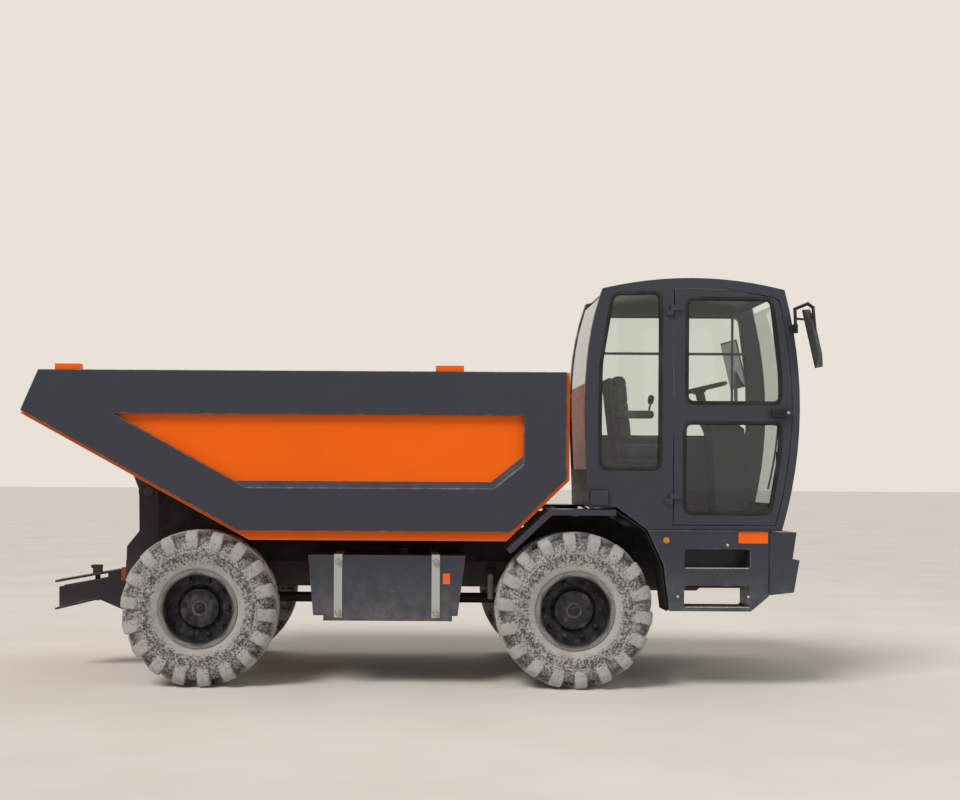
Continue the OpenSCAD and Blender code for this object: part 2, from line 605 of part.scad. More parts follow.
module dash() color(black) place() {
    slab(soft([[1040, floor_top], [1240, floor_top], [1230, 1800], [1110, 1880], [960, 1860],
        [1000, 1780]], 15), seat_y - 140, seat_y + 140);
    translate([wheel_at[0], seat_y, wheel_at[1]]) rotate([0, -wheel_tilt, 0])
        rod_z(32, 0, 0, [-column_len - 60, -30 - fit]);
}
module steering_wheel() color(black) place()
    translate([wheel_at[0], seat_y, wheel_at[1]]) rotate([0, -wheel_tilt, 0]) {
        rotate_extrude() translate([190, 0]) circle(r = 14, $fn = 24);
        translate([0, 0, -30]) cylinder(r = 45, h = 34);
        for (a = [90, 210, 330]) rotate([0, 0, a]) box([30, 185], [-14, 14], [-18, -6]);
    }

// Mirrors: a thin head with a domed back, turned towards the seat, on a bent tube
bumper_top = 1083;
mirror_h = 400;
mirror_w = 190;
mirror_d = 34;
rim_t = 10;
dome_share = 0.55;
mirror_lean = 13;
mirror_turn = 30;
head_corners = [for (face = [[rim_t, 1], [mirror_d, dome_share]], y = [-1, 1], z = [-1, 1])
    [face[0], y * mirror_w / 2 * face[1], z * mirror_h / 2 * face[1]]];
function turned_x(p) = p[0] * cos(mirror_turn) - p[1] * sin(mirror_turn);
function leaned_x(p) = turned_x(p) * cos(mirror_lean) - p[2] * sin(mirror_lean);
mirror_x = front_reach - max([for (p = head_corners) leaned_x(p)]);
mirror_y = 1145;
mirror_z = 2395;
module mirror_head() translate([mirror_x, mirror_y, mirror_z])
    rotate([0, -mirror_lean, 0]) rotate([0, 0, mirror_turn]) hull() {
        translate([0, -mirror_w / 2, -mirror_h / 2]) cube([rim_t, mirror_w, mirror_h]);
        translate([mirror_d - 1, -mirror_w / 2 * dome_share, -mirror_h / 2 * dome_share])
            cube([1, mirror_w * dome_share, mirror_h * dome_share]);
    }
// Round bars end to end through a list of points
module bent_tube(points, r) {
    for (i = [0:len(points) - 2]) tube(points[i], points[i + 1], r);
    for (i = [1:len(points) - 2]) translate(points[i]) sphere(r = r + 1, $fn = 32);
}
mirror_tube_r = 11;
mirror_foot = [1470, 2440];
foot_y = cab_side_y + fit;
tube_y = foot_y + 25;
loop_x = mirror_foot[0] + 18;
module mirror_right() color(black) place() mirror([0, 1, 0]) {
    mirror_head();
    rod_y(24, mirror_foot[0], [foot_y, foot_y + 12], mirror_foot[1] + 30);
    box([mirror_foot[0], loop_x + 12], [foot_y + 10, foot_y + 40], [mirror_foot[1], mirror_foot[1] + 60]);
    bent_tube([[loop_x, tube_y, mirror_foot[1] + 30], [loop_x - 6, tube_y, mirror_foot[1] + 165],
        [mirror_x - 20, mirror_y - 30, mirror_z + 240], [mirror_x + 16, mirror_y - 30, mirror_z + 214],
        [mirror_x + 22, mirror_y, mirror_z + 60]], mirror_tube_r);
    tube([loop_x - 4, tube_y, mirror_foot[1] + 100], [mirror_x - 16, mirror_y - 20, mirror_z + 130],
        mirror_tube_r - 3);
}
mirror_post = [1470, 1000];
post_knee = [1572, mirror_post[1], 1750];
module mirror_left() color(black) place() {
    mirror_head();
    rod_z(30, mirror_post[0], mirror_post[1], [bumper_top, bumper_top + 12]);
    bent_tube([[mirror_post[0], mirror_post[1], bumper_top + 6], post_knee,
        [mirror_x + 20, mirror_y, mirror_z - 60]], 15);
}

// Engine hood beside the cab, hinged along its inner top edge on the bulkhead
hood_in_y = hood_pivot_y + 16;
hood_side = concat(shifted(cab_front_line, 0, 0, 0.33, 6), [[1475, hood_top], [420, hood_top],
    [hood_rear_x, 1640], [hood_rear_x, arch_z], [493, cab_bottom]]);
hood_inside = concat([[1380, 0]], shifted(cab_front_line, hood_t, 0.01, 0.33, 6),
    [[1460, hood_top - hood_t], [432, hood_top - hood_t], [hood_rear_x + hood_t, 1630],
    [hood_rear_x + hood_t, arch_z - 10], [520, 1080], [520, 0]]);
hood_hinge_xs = [[450, 520], [1250, 1320]];
hood_pin_r = 10;
hood_lug = 25;
module bulkhead() color(ink) place() {
    slab([[330, arch_z], [500, cab_bottom], [1405, cab_bottom], [1470, 1600], [1440, hood_top - 42],
        [440, hood_top - 42], [330, 1640]], bulkhead_y, bulkhead_y + bulkhead_t);
    for (x = hood_hinge_xs) {
        for (x0 = [x[0] - hood_lug, x[1]])
            box([x0 + fit, x0 + hood_lug - fit], [bulkhead_y, hood_pivot_y + 8],
                [hood_top - 80, hood_pivot_z + 8]);
        rod_x(hood_pin_r, [x[0] - hood_lug + 1, x[1] + hood_lug - 1], hood_pivot_y, hood_pivot_z);
    }
}
// Pressed louvres, sunk into the hood's side and front
louvre_depth = 12;
louvre_h = 20;
louvre_zs = [for (i = [0:6]) 1260 + 46 * i];
louvre_x = [610, 1150];
louvre_y = [hood_in_y + 90, cab_side_y - 90];
module louvres() for (z = louvre_zs) {
    box(louvre_x, [cab_side_y - louvre_depth, cab_side_y + 1], [z, z + louvre_h]);
    front = at_height(shifted(cab_front_line, 0), z)[0][0];
    box([front - louvre_depth, front + 60], louvre_y, [z, z + louvre_h]);
}
module engine_hood() color(ink) place() difference() {
    union() {
        difference() {
            slab(hood_side, hood_in_y, cab_side_y);
            slab(hood_inside, hood_in_y - 1, cab_side_y - hood_t);
        }
        for (x = hood_hinge_xs) rod_x(18, x, hood_pivot_y, hood_pivot_z);
    }
    for (x = hood_hinge_xs) rod_x(hood_pin_r + fit, [x[0] - 1, x[1] + 1], hood_pivot_y, hood_pivot_z);
    louvres();
}

// Lower front bodywork
step_rear = [[493 + ride, cab_bottom], [603 + ride, 856], [644 + ride, 541]];
step_side = concat(step_rear, [[1199, 541], [frame_front, 645], [frame_front, cab_bottom]]);
tread_x = [744 + ride, 1192];
module step_panels() color(ink) place() both() difference() {
    slab(step_side, deck_y, body_y);
    slab(soft([[tread_x[0], 833], [tread_x[1], 833], [tread_x[1], 965], [tread_x[0], 965]], 20),
        body_y - 190, body_y + 1);
    slab(soft([[tread_x[0], 567], [tread_x[1], 567], [tread_x[1], 716], [tread_x[0], 716]], 20),
        deck_y - 1, body_y + 1);
}
bumper_side = [[frame_front, bumper_top], [1507, bumper_top], [1481, 899], [1529, 893], [1492, 673],
    [frame_front, 653]];
lamp_y = 800;
lamp_z = 990;
lamp_r = 65;
module bumper() color(ink) place() difference() {
    slab(bumper_side, -body_y, body_y);
    both() rod_x(lamp_r, [1450, 1600], lamp_y, lamp_z);
}
guard_line = [[-470 - ride, 955], [-178 - ride, guard_top], [275, guard_top]];
guard_y = [690, 1060];
// Liner of the wheel arch, from the mudguard's front end down behind the step panel
liner_t = 8;
liner_gap = 10;
liner_line = concat([[275, guard_top]], [for (p = step_rear) p - [liner_gap, 0]]);
guard_arm = guard_top - guard_t - 36;
module mudguards() color(ink) place() both() {
    slab(strip(guard_line, -guard_t), guard_y[0], guard_y[1]);
    slab(strip(guard_line, -40), guard_y[1] - 12, guard_y[1]);
    slab(strip(liner_line, -liner_t), deck_y + liner_gap, body_y - 2 * liner_gap);
    box([-20, 20], [rail_in, rail_out], [rail_top, guard_arm]);
    box([-20, 20], [rail_in, body_y - 15], [guard_arm, guard_top - guard_t]);
}
module lamps() color("white") place() both() {
    rod_x(lamp_r - fit, [1450, 1488], lamp_y, lamp_z);
    rod_y(22, 619, [body_y, body_y + 10], 1024);
    box([frame_rear - 34, frame_rear], [330, 430], [680, 780]);
}

frame();
front_deck();
tow_hitch();
fuel_tank();
hydraulic_tank();
engine();
driveline();
front_axle();
rear_axle();
station(1, -1) knuckle();  // knuckle_fr
station(1, 1) knuckle();  // knuckle_fl
station(-1, -1) knuckle();  // knuckle_rr
station(-1, 1) knuckle();  // knuckle_rl
station(1, -1) hub_face() rim();  // rim_fr
station(1, 1) hub_face() rim();  // rim_fl
station(-1, -1) hub_face() rim();  // rim_rr
station(-1, 1) hub_face() rim();  // rim_rl
station(1, -1) hub_face() tyre();  // tyre_fr
station(1, 1) hub_face() tyre();  // tyre_fl
station(-1, -1) hub_face() tyre();  // tyre_rr
station(-1, 1) hub_face() tyre();  // tyre_rl
steer_rod_front();
steer_rod_rear();
skip_floor();
skip_front();
skip_sides();
skip_side_frames();
skip_subframe();
tip_barrels();
tip_rods();
cab_floor();
cab_right_side();
cab_left_side();
cab_front();
cab_rear();
cab_roof();
cab_glass();
door();
door_glass();
seat_base();
seat_cushion();
seat_back();
dash();
steering_wheel();
mirror_right();
mirror_left();
bulkhead();
engine_hood();
step_panels();
bumper();
mudguards();
lamps();
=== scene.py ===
"""Looks of the site dump truck: paint, rubber, glass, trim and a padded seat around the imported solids."""
import json
import math

import bmesh
import bpy
from mathutils import Euler, Matrix, Vector

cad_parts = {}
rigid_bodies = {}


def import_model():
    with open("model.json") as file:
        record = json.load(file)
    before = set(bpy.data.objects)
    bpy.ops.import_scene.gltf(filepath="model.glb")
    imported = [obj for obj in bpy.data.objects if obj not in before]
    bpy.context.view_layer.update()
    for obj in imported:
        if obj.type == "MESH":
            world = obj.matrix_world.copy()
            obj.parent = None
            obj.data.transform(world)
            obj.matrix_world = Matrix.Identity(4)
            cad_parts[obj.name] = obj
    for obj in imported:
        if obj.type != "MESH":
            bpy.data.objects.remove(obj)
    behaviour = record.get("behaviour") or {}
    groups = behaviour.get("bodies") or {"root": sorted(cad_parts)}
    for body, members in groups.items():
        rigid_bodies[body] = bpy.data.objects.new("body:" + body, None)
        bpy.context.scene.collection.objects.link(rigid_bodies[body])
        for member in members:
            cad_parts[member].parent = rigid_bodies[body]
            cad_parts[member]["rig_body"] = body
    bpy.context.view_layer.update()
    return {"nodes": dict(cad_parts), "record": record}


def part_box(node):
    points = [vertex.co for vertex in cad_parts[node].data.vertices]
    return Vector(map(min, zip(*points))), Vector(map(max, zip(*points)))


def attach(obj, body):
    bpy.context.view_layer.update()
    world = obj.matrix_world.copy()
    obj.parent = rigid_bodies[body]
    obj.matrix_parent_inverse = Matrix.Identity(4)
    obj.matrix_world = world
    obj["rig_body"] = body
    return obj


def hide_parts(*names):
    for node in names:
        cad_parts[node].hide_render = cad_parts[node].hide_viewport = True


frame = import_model()
SLOTS = {row["node"]: row["material_slot"] for row in frame["record"]["subparts"]}

# Places are metres from the point on the ground under the front axle, +X forward and -Y on the cab's side
FRONT = sum(corner.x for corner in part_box("rim_fr")) / 2
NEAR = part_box("cab_right_side")[0].y
WELD = 1e-5


def at(x, y, z):
    """A place given from the point under the front axle."""
    return Vector((FRONT + x, y, z))


def middle(node):
    """The middle of a node's box."""
    low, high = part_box(node)
    return (low + high) / 2


def colour(code):
    """A colour for a socket, from the code it has on a screen."""
    parts = [int(code[i:i + 2], 16) / 255 for i in (1, 3, 5)]
    return tuple(p / 12.92 if p <= 0.04045 else ((p + 0.055) / 1.055) ** 2.4 for p in parts) + (1.0,)


INK = colour("#363943")
ORANGE = colour("#fb6700")
BLACK = colour("#232326")
RUBBER = colour("#1f1e1e")
DUST = colour("#b9b2ab")
PALE = colour("#c8c6c2")


# Materials
class Shades:
    """Short calls for the nodes of one material."""

    def __init__(self, name):
        self.material = bpy.data.materials.new(name)
        self.material.use_nodes = True
        self.tree = self.material.node_tree
        self.shader = self.tree.nodes["Principled BSDF"]
        self.places = self.tree.nodes.new("ShaderNodeTexCoord")

    def put(self, socket, value):
        if isinstance(value, bpy.types.NodeSocket):
            self.tree.links.new(value, socket)
        else:
            socket.default_value = value

    def set(self, **values):
        for key, value in values.items():
            self.put(self.shader.inputs[key.replace("_", " ").title().replace("Ior", "IOR")], value)

    def noise(self, scale, detail=4.0, rough=0.55):
        node = self.tree.nodes.new("ShaderNodeTexNoise")
        self.put(node.inputs["Vector"], self.places.outputs["Object"])
        self.put(node.inputs["Scale"], scale)
        self.put(node.inputs["Detail"], detail)
        self.put(node.inputs["Roughness"], rough)
        return node.outputs["Fac"]

    def cells(self, scale):
        node = self.tree.nodes.new("ShaderNodeTexVoronoi")
        self.put(node.inputs["Vector"], self.places.outputs["Object"])
        self.put(node.inputs["Scale"], scale)
        return node.outputs["Distance"]

    def spread(self, value, low, high, start=0.0, end=1.0):
        node = self.tree.nodes.new("ShaderNodeMapRange")
        node.interpolation_type = "SMOOTHSTEP"
        self.put(node.inputs["Value"], value)
        self.put(node.inputs["From Min"], low)
        self.put(node.inputs["From Max"], high)
        self.put(node.inputs["To Min"], start)
        self.put(node.inputs["To Max"], end)
        return node.outputs["Result"]

    def math(self, kind, a, b=0.0):
        node = self.tree.nodes.new("ShaderNodeMath")
        node.operation = kind
        node.use_clamp = kind in ("ADD", "MULTIPLY")
        self.put(node.inputs[0], a)
        self.put(node.inputs[1], b)
        return node.outputs["Value"]

    def mix(self, share, a, b):
        node = self.tree.nodes.new("ShaderNodeMix")
        node.data_type = "RGBA"
        self.put(node.inputs["Factor"], share)
        self.put(node.inputs["A"], a)
        self.put(node.inputs["B"], b)
        return node.outputs["Result"]

    def axis(self, letter, output="Object"):
        node = self.tree.nodes.new("ShaderNodeSeparateXYZ")
        self.put(node.inputs["Vector"], self.places.outputs[output])
        return node.outputs[letter]

    def mark(self, name):
        node = self.tree.nodes.new("ShaderNodeAttribute")
        node.attribute_name = name
        return node.outputs["Fac"]

    def bump(self, height, strength, distance):
        node = self.tree.nodes.new("ShaderNodeBump")
        self.put(node.inputs["Height"], height)
        self.put(node.inputs["Strength"], strength)
        self.put(node.inputs["Distance"], distance)
        self.put(self.shader.inputs["Normal"], node.outputs["Normal"])


def darker(tone, share):
    return tuple(c * share for c in tone[:3]) + (1.0,)


def dust_share(s, low, high, most):
    """Dust that lies on faces that look up and thickens towards the ground."""
    up = s.spread(s.axis("Z", "Normal"), 0.35, 1.0, 0.0, 0.36)
    down = s.spread(s.axis("Z"), high, low, 0.0, 1.0)
    patches = s.spread(s.noise(7.0, 8.0, 0.72), 0.32, 0.74, 0.12, 1.0)
    lying = s.math("MAXIMUM", up, down)
    return s.math("MULTIPLY", s.math("MULTIPLY", lying, patches), most)


def paint(name, base, rough, low, high, most, gloss=0.3):
    """Paint with worn ridges, and dust that fades out between two heights."""
    s = Shades(name)
    shade = s.mix(s.spread(s.noise(1.6, 3.0), 0.3, 0.7, 0.0, 0.22), base, darker(base, 0.72))
    worn = s.math("MULTIPLY", s.mark("worn"), s.spread(s.noise(14.0, 6.0, 0.6), 0.42, 0.7, 0.08, 0.5))
    shade = s.mix(worn, shade, PALE)
    dust = dust_share(s, low, high, most)
    s.set(base_color=s.mix(dust, shade, DUST), metallic=0.0, coat_weight=0.04, coat_roughness=0.2)
    s.set(specular_ior_level=gloss)
    grain = s.spread(s.noise(22.0, 5.0), 0.3, 0.7, rough - 0.06, rough + 0.08)
    s.set(roughness=s.math("ADD", grain, s.math("MULTIPLY", dust, 0.3)))
    s.bump(s.noise(420.0, 2.0), 0.05, 0.001)
    return s.material


def tyre_rubber():
    """Rubber under dried mud, which lies where the mesh is marked with its dust share; on the lugs that mark
    also paints shade down the flanks to the base.
    """
    s = Shades("tyre_rubber")
    coarse = s.math("MULTIPLY", s.noise(31.0, 8.0, 0.7), 0.6)
    fine = s.math("MULTIPLY", s.noise(84.0, 6.0), 0.4)
    grains = s.math("ADD", coarse, fine)
    clods = s.cells(70.0)
    # The mesh's mark holds dust, and on the lugs also painted shade: less of the pale tone on their flanks
    # and bases
    level = s.math("ADD", s.math("MULTIPLY", s.mark("dust_and_shade"), 0.62), s.math("MULTIPLY", grains, 0.5))
    share = s.spread(s.math("ADD", level, s.math("MULTIPLY", clods, 0.18)), 0.49, 0.68, 0.10, 0.94)
    tone = s.mix(s.noise(9.0, 5.0), colour("#96928f"), colour("#c8c4c1"))
    s.set(base_color=s.mix(share, RUBBER, tone), roughness=s.spread(share, 0.0, 1.0, 0.72, 0.95))
    s.set(specular_ior_level=0.2)
    s.bump(s.math("ADD", s.math("MULTIPLY", grains, 0.7), s.math("MULTIPLY", clods, 0.3)), 0.5, 0.006)
    return s.material


def rim_black():
    s = Shades("rim_black")
    worn = s.math("MULTIPLY", s.mark("worn"), s.spread(s.noise(70.0, 6.0, 0.7), 0.3, 0.7, 0.45, 0.95))
    dust = s.spread(s.noise(12.0, 6.0, 0.65), 0.45, 0.8, 0.0, 0.22)
    s.set(base_color=s.mix(worn, s.mix(dust, BLACK, DUST), colour("#a39e98")), specular_ior_level=0.3)
    s.set(roughness=s.spread(s.noise(30.0), 0.3, 0.7, 0.38, 0.6))
    s.bump(s.noise(160.0, 3.0), 0.08, 0.001)
    return s.material


def cast_iron():
    s = Shades("cast_iron")
    dust = s.spread(s.noise(9.0, 7.0, 0.65), 0.42, 0.82)
    s.set(base_color=s.mix(dust, colour("#2a2a2b"), colour("#5a544f")))
    s.set(roughness=s.spread(s.noise(40.0), 0.3, 0.7, 0.55, 0.8), metallic=0.25)
    s.bump(s.noise(240.0, 4.0), 0.35, 0.0015)
    return s.material


def bright_steel(name, base, rough):
    s = Shades(name)
    s.set(base_color=s.mix(s.spread(s.noise(60.0, 3.0), 0.35, 0.7), base, darker(base, 0.55)))
    s.set(roughness=s.spread(s.noise(90.0), 0.3, 0.7, rough, rough * 2.0), metallic=0.85)
    s.bump(s.noise(500.0, 2.0), 0.04, 0.0005)
    return s.material


def clear_glass(name, tint, rough):
    s = Shades(name)
    s.set(base_color=tint, transmission_weight=1.0, ior=1.45)
    s.set(roughness=s.spread(s.noise(3.0, 5.0), 0.5, 0.85, rough, rough + 0.05))
    return s.material


def moulded(name, base, rough, grain):
    """Moulded plastic or rubber with a fine grain."""
    s = Shades(name)
    s.set(base_color=s.mix(s.spread(s.noise(6.0, 5.0), 0.35, 0.75, 0.0, 0.18), base, colour("#5b5957")))
    s.set(roughness=s.spread(s.noise(18.0), 0.3, 0.7, rough - 0.08, rough + 0.1), specular_ior_level=0.3)
    s.bump(s.noise(grain, 2.0), 0.04, 0.0004)
    return s.material


def seat_vinyl():
    s = Shades("seat_vinyl")
    fold = s.math("ADD", s.math("MULTIPLY", s.cells(260.0), 0.6), s.math("MULTIPLY", s.noise(35.0, 5.0), 0.5))
    s.set(base_color=s.mix(s.spread(s.noise(7.0, 6.0), 0.4, 0.8), colour("#26262a"), colour("#4b4a4c")))
    s.set(roughness=s.spread(s.noise(20.0), 0.3, 0.7, 0.42, 0.62), sheen_weight=0.08)
    s.bump(fold, 0.10, 0.0008)
    return s.material


def lens(name, tint, lit):
    s = Shades(name)
    ribs = s.cells(95.0)
    s.set(base_color=s.mix(s.spread(ribs, 0.0, 0.6, 0.0, 0.5), tint, darker(tint, 0.55)))
    s.set(roughness=s.spread(s.noise(30.0), 0.3, 0.7, 0.06, 0.16), transmission_weight=lit, coat_weight=0.6)
    s.bump(ribs, 0.3, 0.002)
    return s.material


MATERIALS = {
    "chassis_paint": paint("chassis_paint", BLACK, 0.48, 0.35, 1.0, 0.34),
    "body_paint": paint("body_paint", INK, 0.36, 0.3, 0.95, 0.28),
    "orange_paint": paint("orange_paint", ORANGE, 0.34, 0.6, 1.15, 0.22, 0.2),
    "tyre": tyre_rubber(),
    "rim_paint": rim_black(),
    "steel": bright_steel("bright_steel", colour("#c3c2be"), 0.21),
    "casting": cast_iron(),
    "glass": clear_glass("cab_glass", colour("#edf4f0"), 0.0),
    "plastic": moulded("black_plastic", colour("#1d1d1f"), 0.5, 420.0),
    "vinyl": seat_vinyl(),
    "lamp": lens("clear_lens", colour("#dfe3e6"), 0.35),
}
SEAL = moulded("seal_rubber", colour("#141415"), 0.62, 300.0)
AMBER = lens("amber_lens", colour("#e8860c"), 0.1)
RED = lens("red_lens", colour("#a81410"), 0.1)
STRAP = paint("strap_grey", colour("#b4b4b0"), 0.42, 0.3, 0.9, 0.3)
SCUFFED = paint("scuffed_orange", ORANGE, 0.5, 0.95, 1.85, 0.62, 0.2)
# Black paint for the towing jaw's side cheeks, darker than the casting: painted shade on them
JAW_PAINTED_SHADE = paint("jaw_painted_shade", BLACK, 0.5, 0.15, 0.6, 0.3)
LINER = moulded("arch_liner", colour("#151516"), 0.68, 180.0)
MIRROR = bright_steel("mirror_silver", colour("#a9b0b4"), 0.03)
SCREEN = moulded("display_face", colour("#0d1013"), 0.16, 900.0)


# Mesh work
SHARP_ANGLE = math.radians(30.0)


def ease(mesh, width, segments=2):
    """Rounds the sharp edges of a mesh and marks their ridges as worn."""
    layer = mesh.verts.layers.float.new("worn")
    sharp = [e for e in mesh.edges if len(e.link_faces) == 2 and e.calc_face_angle(0.0) > SHARP_ANGLE]
    eased = bmesh.ops.bevel(mesh, geom=sharp, offset=width, segments=segments, profile=0.5,
                            affect="EDGES", clamp_overlap=True)
    rounds = set(eased["faces"])
    for vert in eased["verts"]:
        vert[layer] = 1.0 if all(face in rounds for face in vert.link_faces) else 0.0


def applied(piece):
    """The mesh of a piece with its modifiers applied."""
    bpy.context.view_layer.update()
    graph = bpy.context.evaluated_depsgraph_get()
    return bpy.data.meshes.new_from_object(piece.evaluated_get(graph))


def show(name, mesh, body, material, smooth=32.0):
    """Turns a mesh into a piece that rides on a body, with even shading on its flat faces."""
    data = bpy.data.meshes.new(name)
    mesh.to_mesh(data)
    mesh.free()
    data.materials.append(material)
    data.shade_smooth()
    data.set_sharp_from_angle(angle=math.radians(smooth))
    piece = bpy.data.objects.new(name, data)
    bpy.context.scene.collection.objects.link(piece)
    even = piece.modifiers.new("even", "WEIGHTED_NORMAL")
    even.keep_sharp = True
    piece.data = applied(piece)
    piece.modifiers.remove(even)
    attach(piece, body)
    return piece


def solid_of(node):
    """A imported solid's mesh with its seams welded and its flat faces joined."""
    mesh = bmesh.new()
    mesh.from_mesh(frame["nodes"][node].data)
    bmesh.ops.remove_doubles(mesh, verts=mesh.verts, dist=WELD)
    bmesh.ops.dissolve_limit(mesh, angle_limit=math.radians(0.5), verts=mesh.verts, edges=mesh.edges)
    return mesh


# Faces of a solid that have another material, by their middle and the way they look
OTHER_FACES = {
    "skip_floor": ((SCUFFED, lambda p, way: way.z > 0.3),),
    "skip_front": ((SCUFFED, lambda p, way: way.z > 0.3 or way.x < -0.3),),
    "skip_sides": ((SCUFFED, lambda p, way: abs(p.y) < 1.0115 and p.z < 2.16),),
    "mudguards": ((LINER, lambda p, way: p.x > 0.279 or abs(p.y) < 0.688),),
    "bumper": ((MATERIALS["plastic"], lambda p, way: p.x > 1.46 and p.z < 0.897),),
    # The towing jaw's side cheeks take the black paint that paints shade on them
    "tow_hitch": ((JAW_PAINTED_SHADE, lambda p, way: abs(way.y) > 0.9 and p.x < -3.1),),
    "lamps": ((AMBER, lambda p, way: abs(p.y) > 1.045), (RED, lambda p, way: p.x < -2.0)),
}


def dressed(node, width):
    """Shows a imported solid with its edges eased, which stands for it."""
    mesh = solid_of(node)
    ease(mesh, width)
    slot = SLOTS[node]
    piece = show(node + ".eased", mesh, frame["nodes"][node]["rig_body"], MATERIALS[slot])
    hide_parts(node)
    for material, holds in OTHER_FACES.get(node, ()):
        piece.data.materials.append(material)
        for face in piece.data.polygons:
            if holds(face.center - at(0.0, 0.0, 0.0), face.normal):
                face.material_index = len(piece.data.materials) - 1


# Width of the eased edges on each painted or moulded solid
EASED = {
    "frame": 0.004, "front_deck": 0.004, "tow_hitch": 0.005, "fuel_tank": 0.012, "hydraulic_tank": 0.012,
    "engine": 0.012, "driveline": 0.008, "front_axle": 0.006, "rear_axle": 0.006,
    "skip_floor": 0.003, "skip_front": 0.003, "skip_sides": 0.003, "skip_side_frames": 0.006,
    "skip_subframe": 0.004, "tip_barrels": 0.003, "cab_floor": 0.006, "cab_right_side": 0.008,
    "cab_left_side": 0.008, "cab_front": 0.005, "cab_rear": 0.005, "cab_roof": 0.006, "door": 0.007,
    "seat_base": 0.005, "dash": 0.015, "steering_wheel": 0.004, "mirror_right": 0.012, "mirror_left": 0.012,
    "bulkhead": 0.003, "engine_hood": 0.012, "step_panels": 0.008, "bumper": 0.014, "mudguards": 0.003,
    "lamps": 0.004,
}
for node, width in EASED.items():
    dressed(node, width)
for node, slot in SLOTS.items():
    if node not in EASED:
        shown = frame["nodes"][node].data
        shown.materials.clear()
        shown.materials.append(MATERIALS[slot])


# Strips of faces
def skin(mesh, rings, loop=False):
    """Faces from each ring of points to the next, and in a loop from the last to the first."""
    following = rings[1:] + rings[:1] if loop else rings[1:]
    for here, there in zip(rings, following):
        for j in range(len(here)):
            k = (j + 1) % len(here)
            mesh.faces.new((here[j], here[k], there[k], there[j]))


def cap(mesh, rings):
    """Closes the first and the last ring of a strip."""
    mesh.faces.new(rings[0])
    mesh.faces.new(rings[-1])


def around(y, radius, angle):
    """A place at an angle about the Y axis."""
    return Vector((radius * math.sin(angle), y, radius * math.cos(angle)))


def turned(mesh, outline, steps, matrix=Matrix()):
    """Turns a closed outline of (y, radius) about the Y axis, and gives its rings of points."""
    rings = []
    for i in range(steps):
        angle = 2 * math.pi * i / steps
        rings.append([mesh.verts.new(matrix @ around(y, r, angle)) for y, r in outline])
    skin(mesh, rings, loop=True)
    return rings


# Wheels, drawn about the origin with the axle along Y
STATIONS = ("fr", "fl", "rr", "rl")
LUGS = 18
# How far a lug's base stands out past its flank, its top's chamfer, and the share of its height below that
LUG_FLARE = 0.009
LUG_CHAMFER = 0.011
LUG_FLANK = 0.84
# Share of dust on a lug's top, flank and base; the smaller shares on the flank and base are painted shade
# down the lug's sides
LUG_DUST_AND_SHADE = (0.66, 0.46, 0.30)
# One lug from the middle of the tread to the side wall: top (y, radius), base (y, radius), half width, lead
LUG_ROWS = (
    (0.008, 0.5372, 0.008, 0.490, 0.042, 0.130), (0.060, 0.5372, 0.060, 0.490, 0.042, 0.072),
    (0.124, 0.5368, 0.122, 0.488, 0.042, 0.0), (0.150, 0.5330, 0.140, 0.482, 0.042, 0.0),
    (0.180, 0.5160, 0.158, 0.470, 0.042, 0.0), (0.1960, 0.4960, 0.170, 0.456, 0.041, 0.0),
    (0.1990, 0.4700, 0.180, 0.440, 0.040, 0.0), (0.1985, 0.4350, 0.184, 0.420, 0.038, 0.0),
    (0.1960, 0.4120, 0.186, 0.402, 0.034, 0.0),
)
# Half of the carcass from the middle of the tread to the bead, then the liner back: (y, radius, dust)
CARCASS = (
    (0.0, 0.4975, 0.36), (0.10, 0.4965, 0.36), (0.146, 0.4880, 0.36), (0.168, 0.4700, 0.38),
    (0.182, 0.4420, 0.40), (0.189, 0.4180, 0.40), (0.1915, 0.4050, 0.40), (0.1945, 0.4000, 0.44),
    (0.1945, 0.3920, 0.42), (0.1915, 0.3870, 0.36), (0.1930, 0.3500, 0.37), (0.1900, 0.3250, 0.42),
    (0.1885, 0.3170, 0.48), (0.1860, 0.3120, 0.52), (0.1800, 0.2930, 0.58), (0.1755, 0.2810, 0.60),
    (0.166, 0.2715, 0.56), (0.1605, 0.2590, 0.50), (0.140, 0.2590, 0.30), (0.150, 0.3000, 0.30),
    (0.158, 0.3800, 0.30), (0.130, 0.4550, 0.30), (0.0, 0.4650, 0.30),
)
RING_STEPS = 132
RIM_FLANGE = 0.262


def lug(mesh, angle, side):
    """One tread bar, laid from row to row over the shoulder."""
    layer = mesh.verts.layers.float["dust_and_shade"]
    sections = []
    for row, (top_y, top_r, base_y, base_r, half, lead) in enumerate(LUG_ROWS):
        # The flank and base take less of the pale tone than the top: painted shade down the lug's sides
        top_dust, flank_dust_and_shade, base_dust_and_shade = LUG_DUST_AND_SHADE
        top_dust -= 0.03 * max(0, row - 2)
        middle_angle = angle + lead / top_r
        mid_y = base_y + (top_y - base_y) * LUG_FLANK
        mid_r = base_r + (top_r - base_r) * LUG_FLANK
        section = (
            (base_y, base_r, -half - LUG_FLARE, base_dust_and_shade),
            (mid_y, mid_r, -half, flank_dust_and_shade),
            (top_y, top_r, LUG_CHAMFER - half, top_dust),
            (top_y, top_r, half - LUG_CHAMFER, top_dust),
            (mid_y, mid_r, half, flank_dust_and_shade),
            (base_y, base_r, half + LUG_FLARE, base_dust_and_shade),
        )
        verts = []
        for y, r, across, share in section:
            vert = mesh.verts.new(around(y * side, r, middle_angle + across / r))
            vert[layer] = share
            verts.append(vert)
        sections.append(verts)
    skin(mesh, sections)
    cap(mesh, sections)


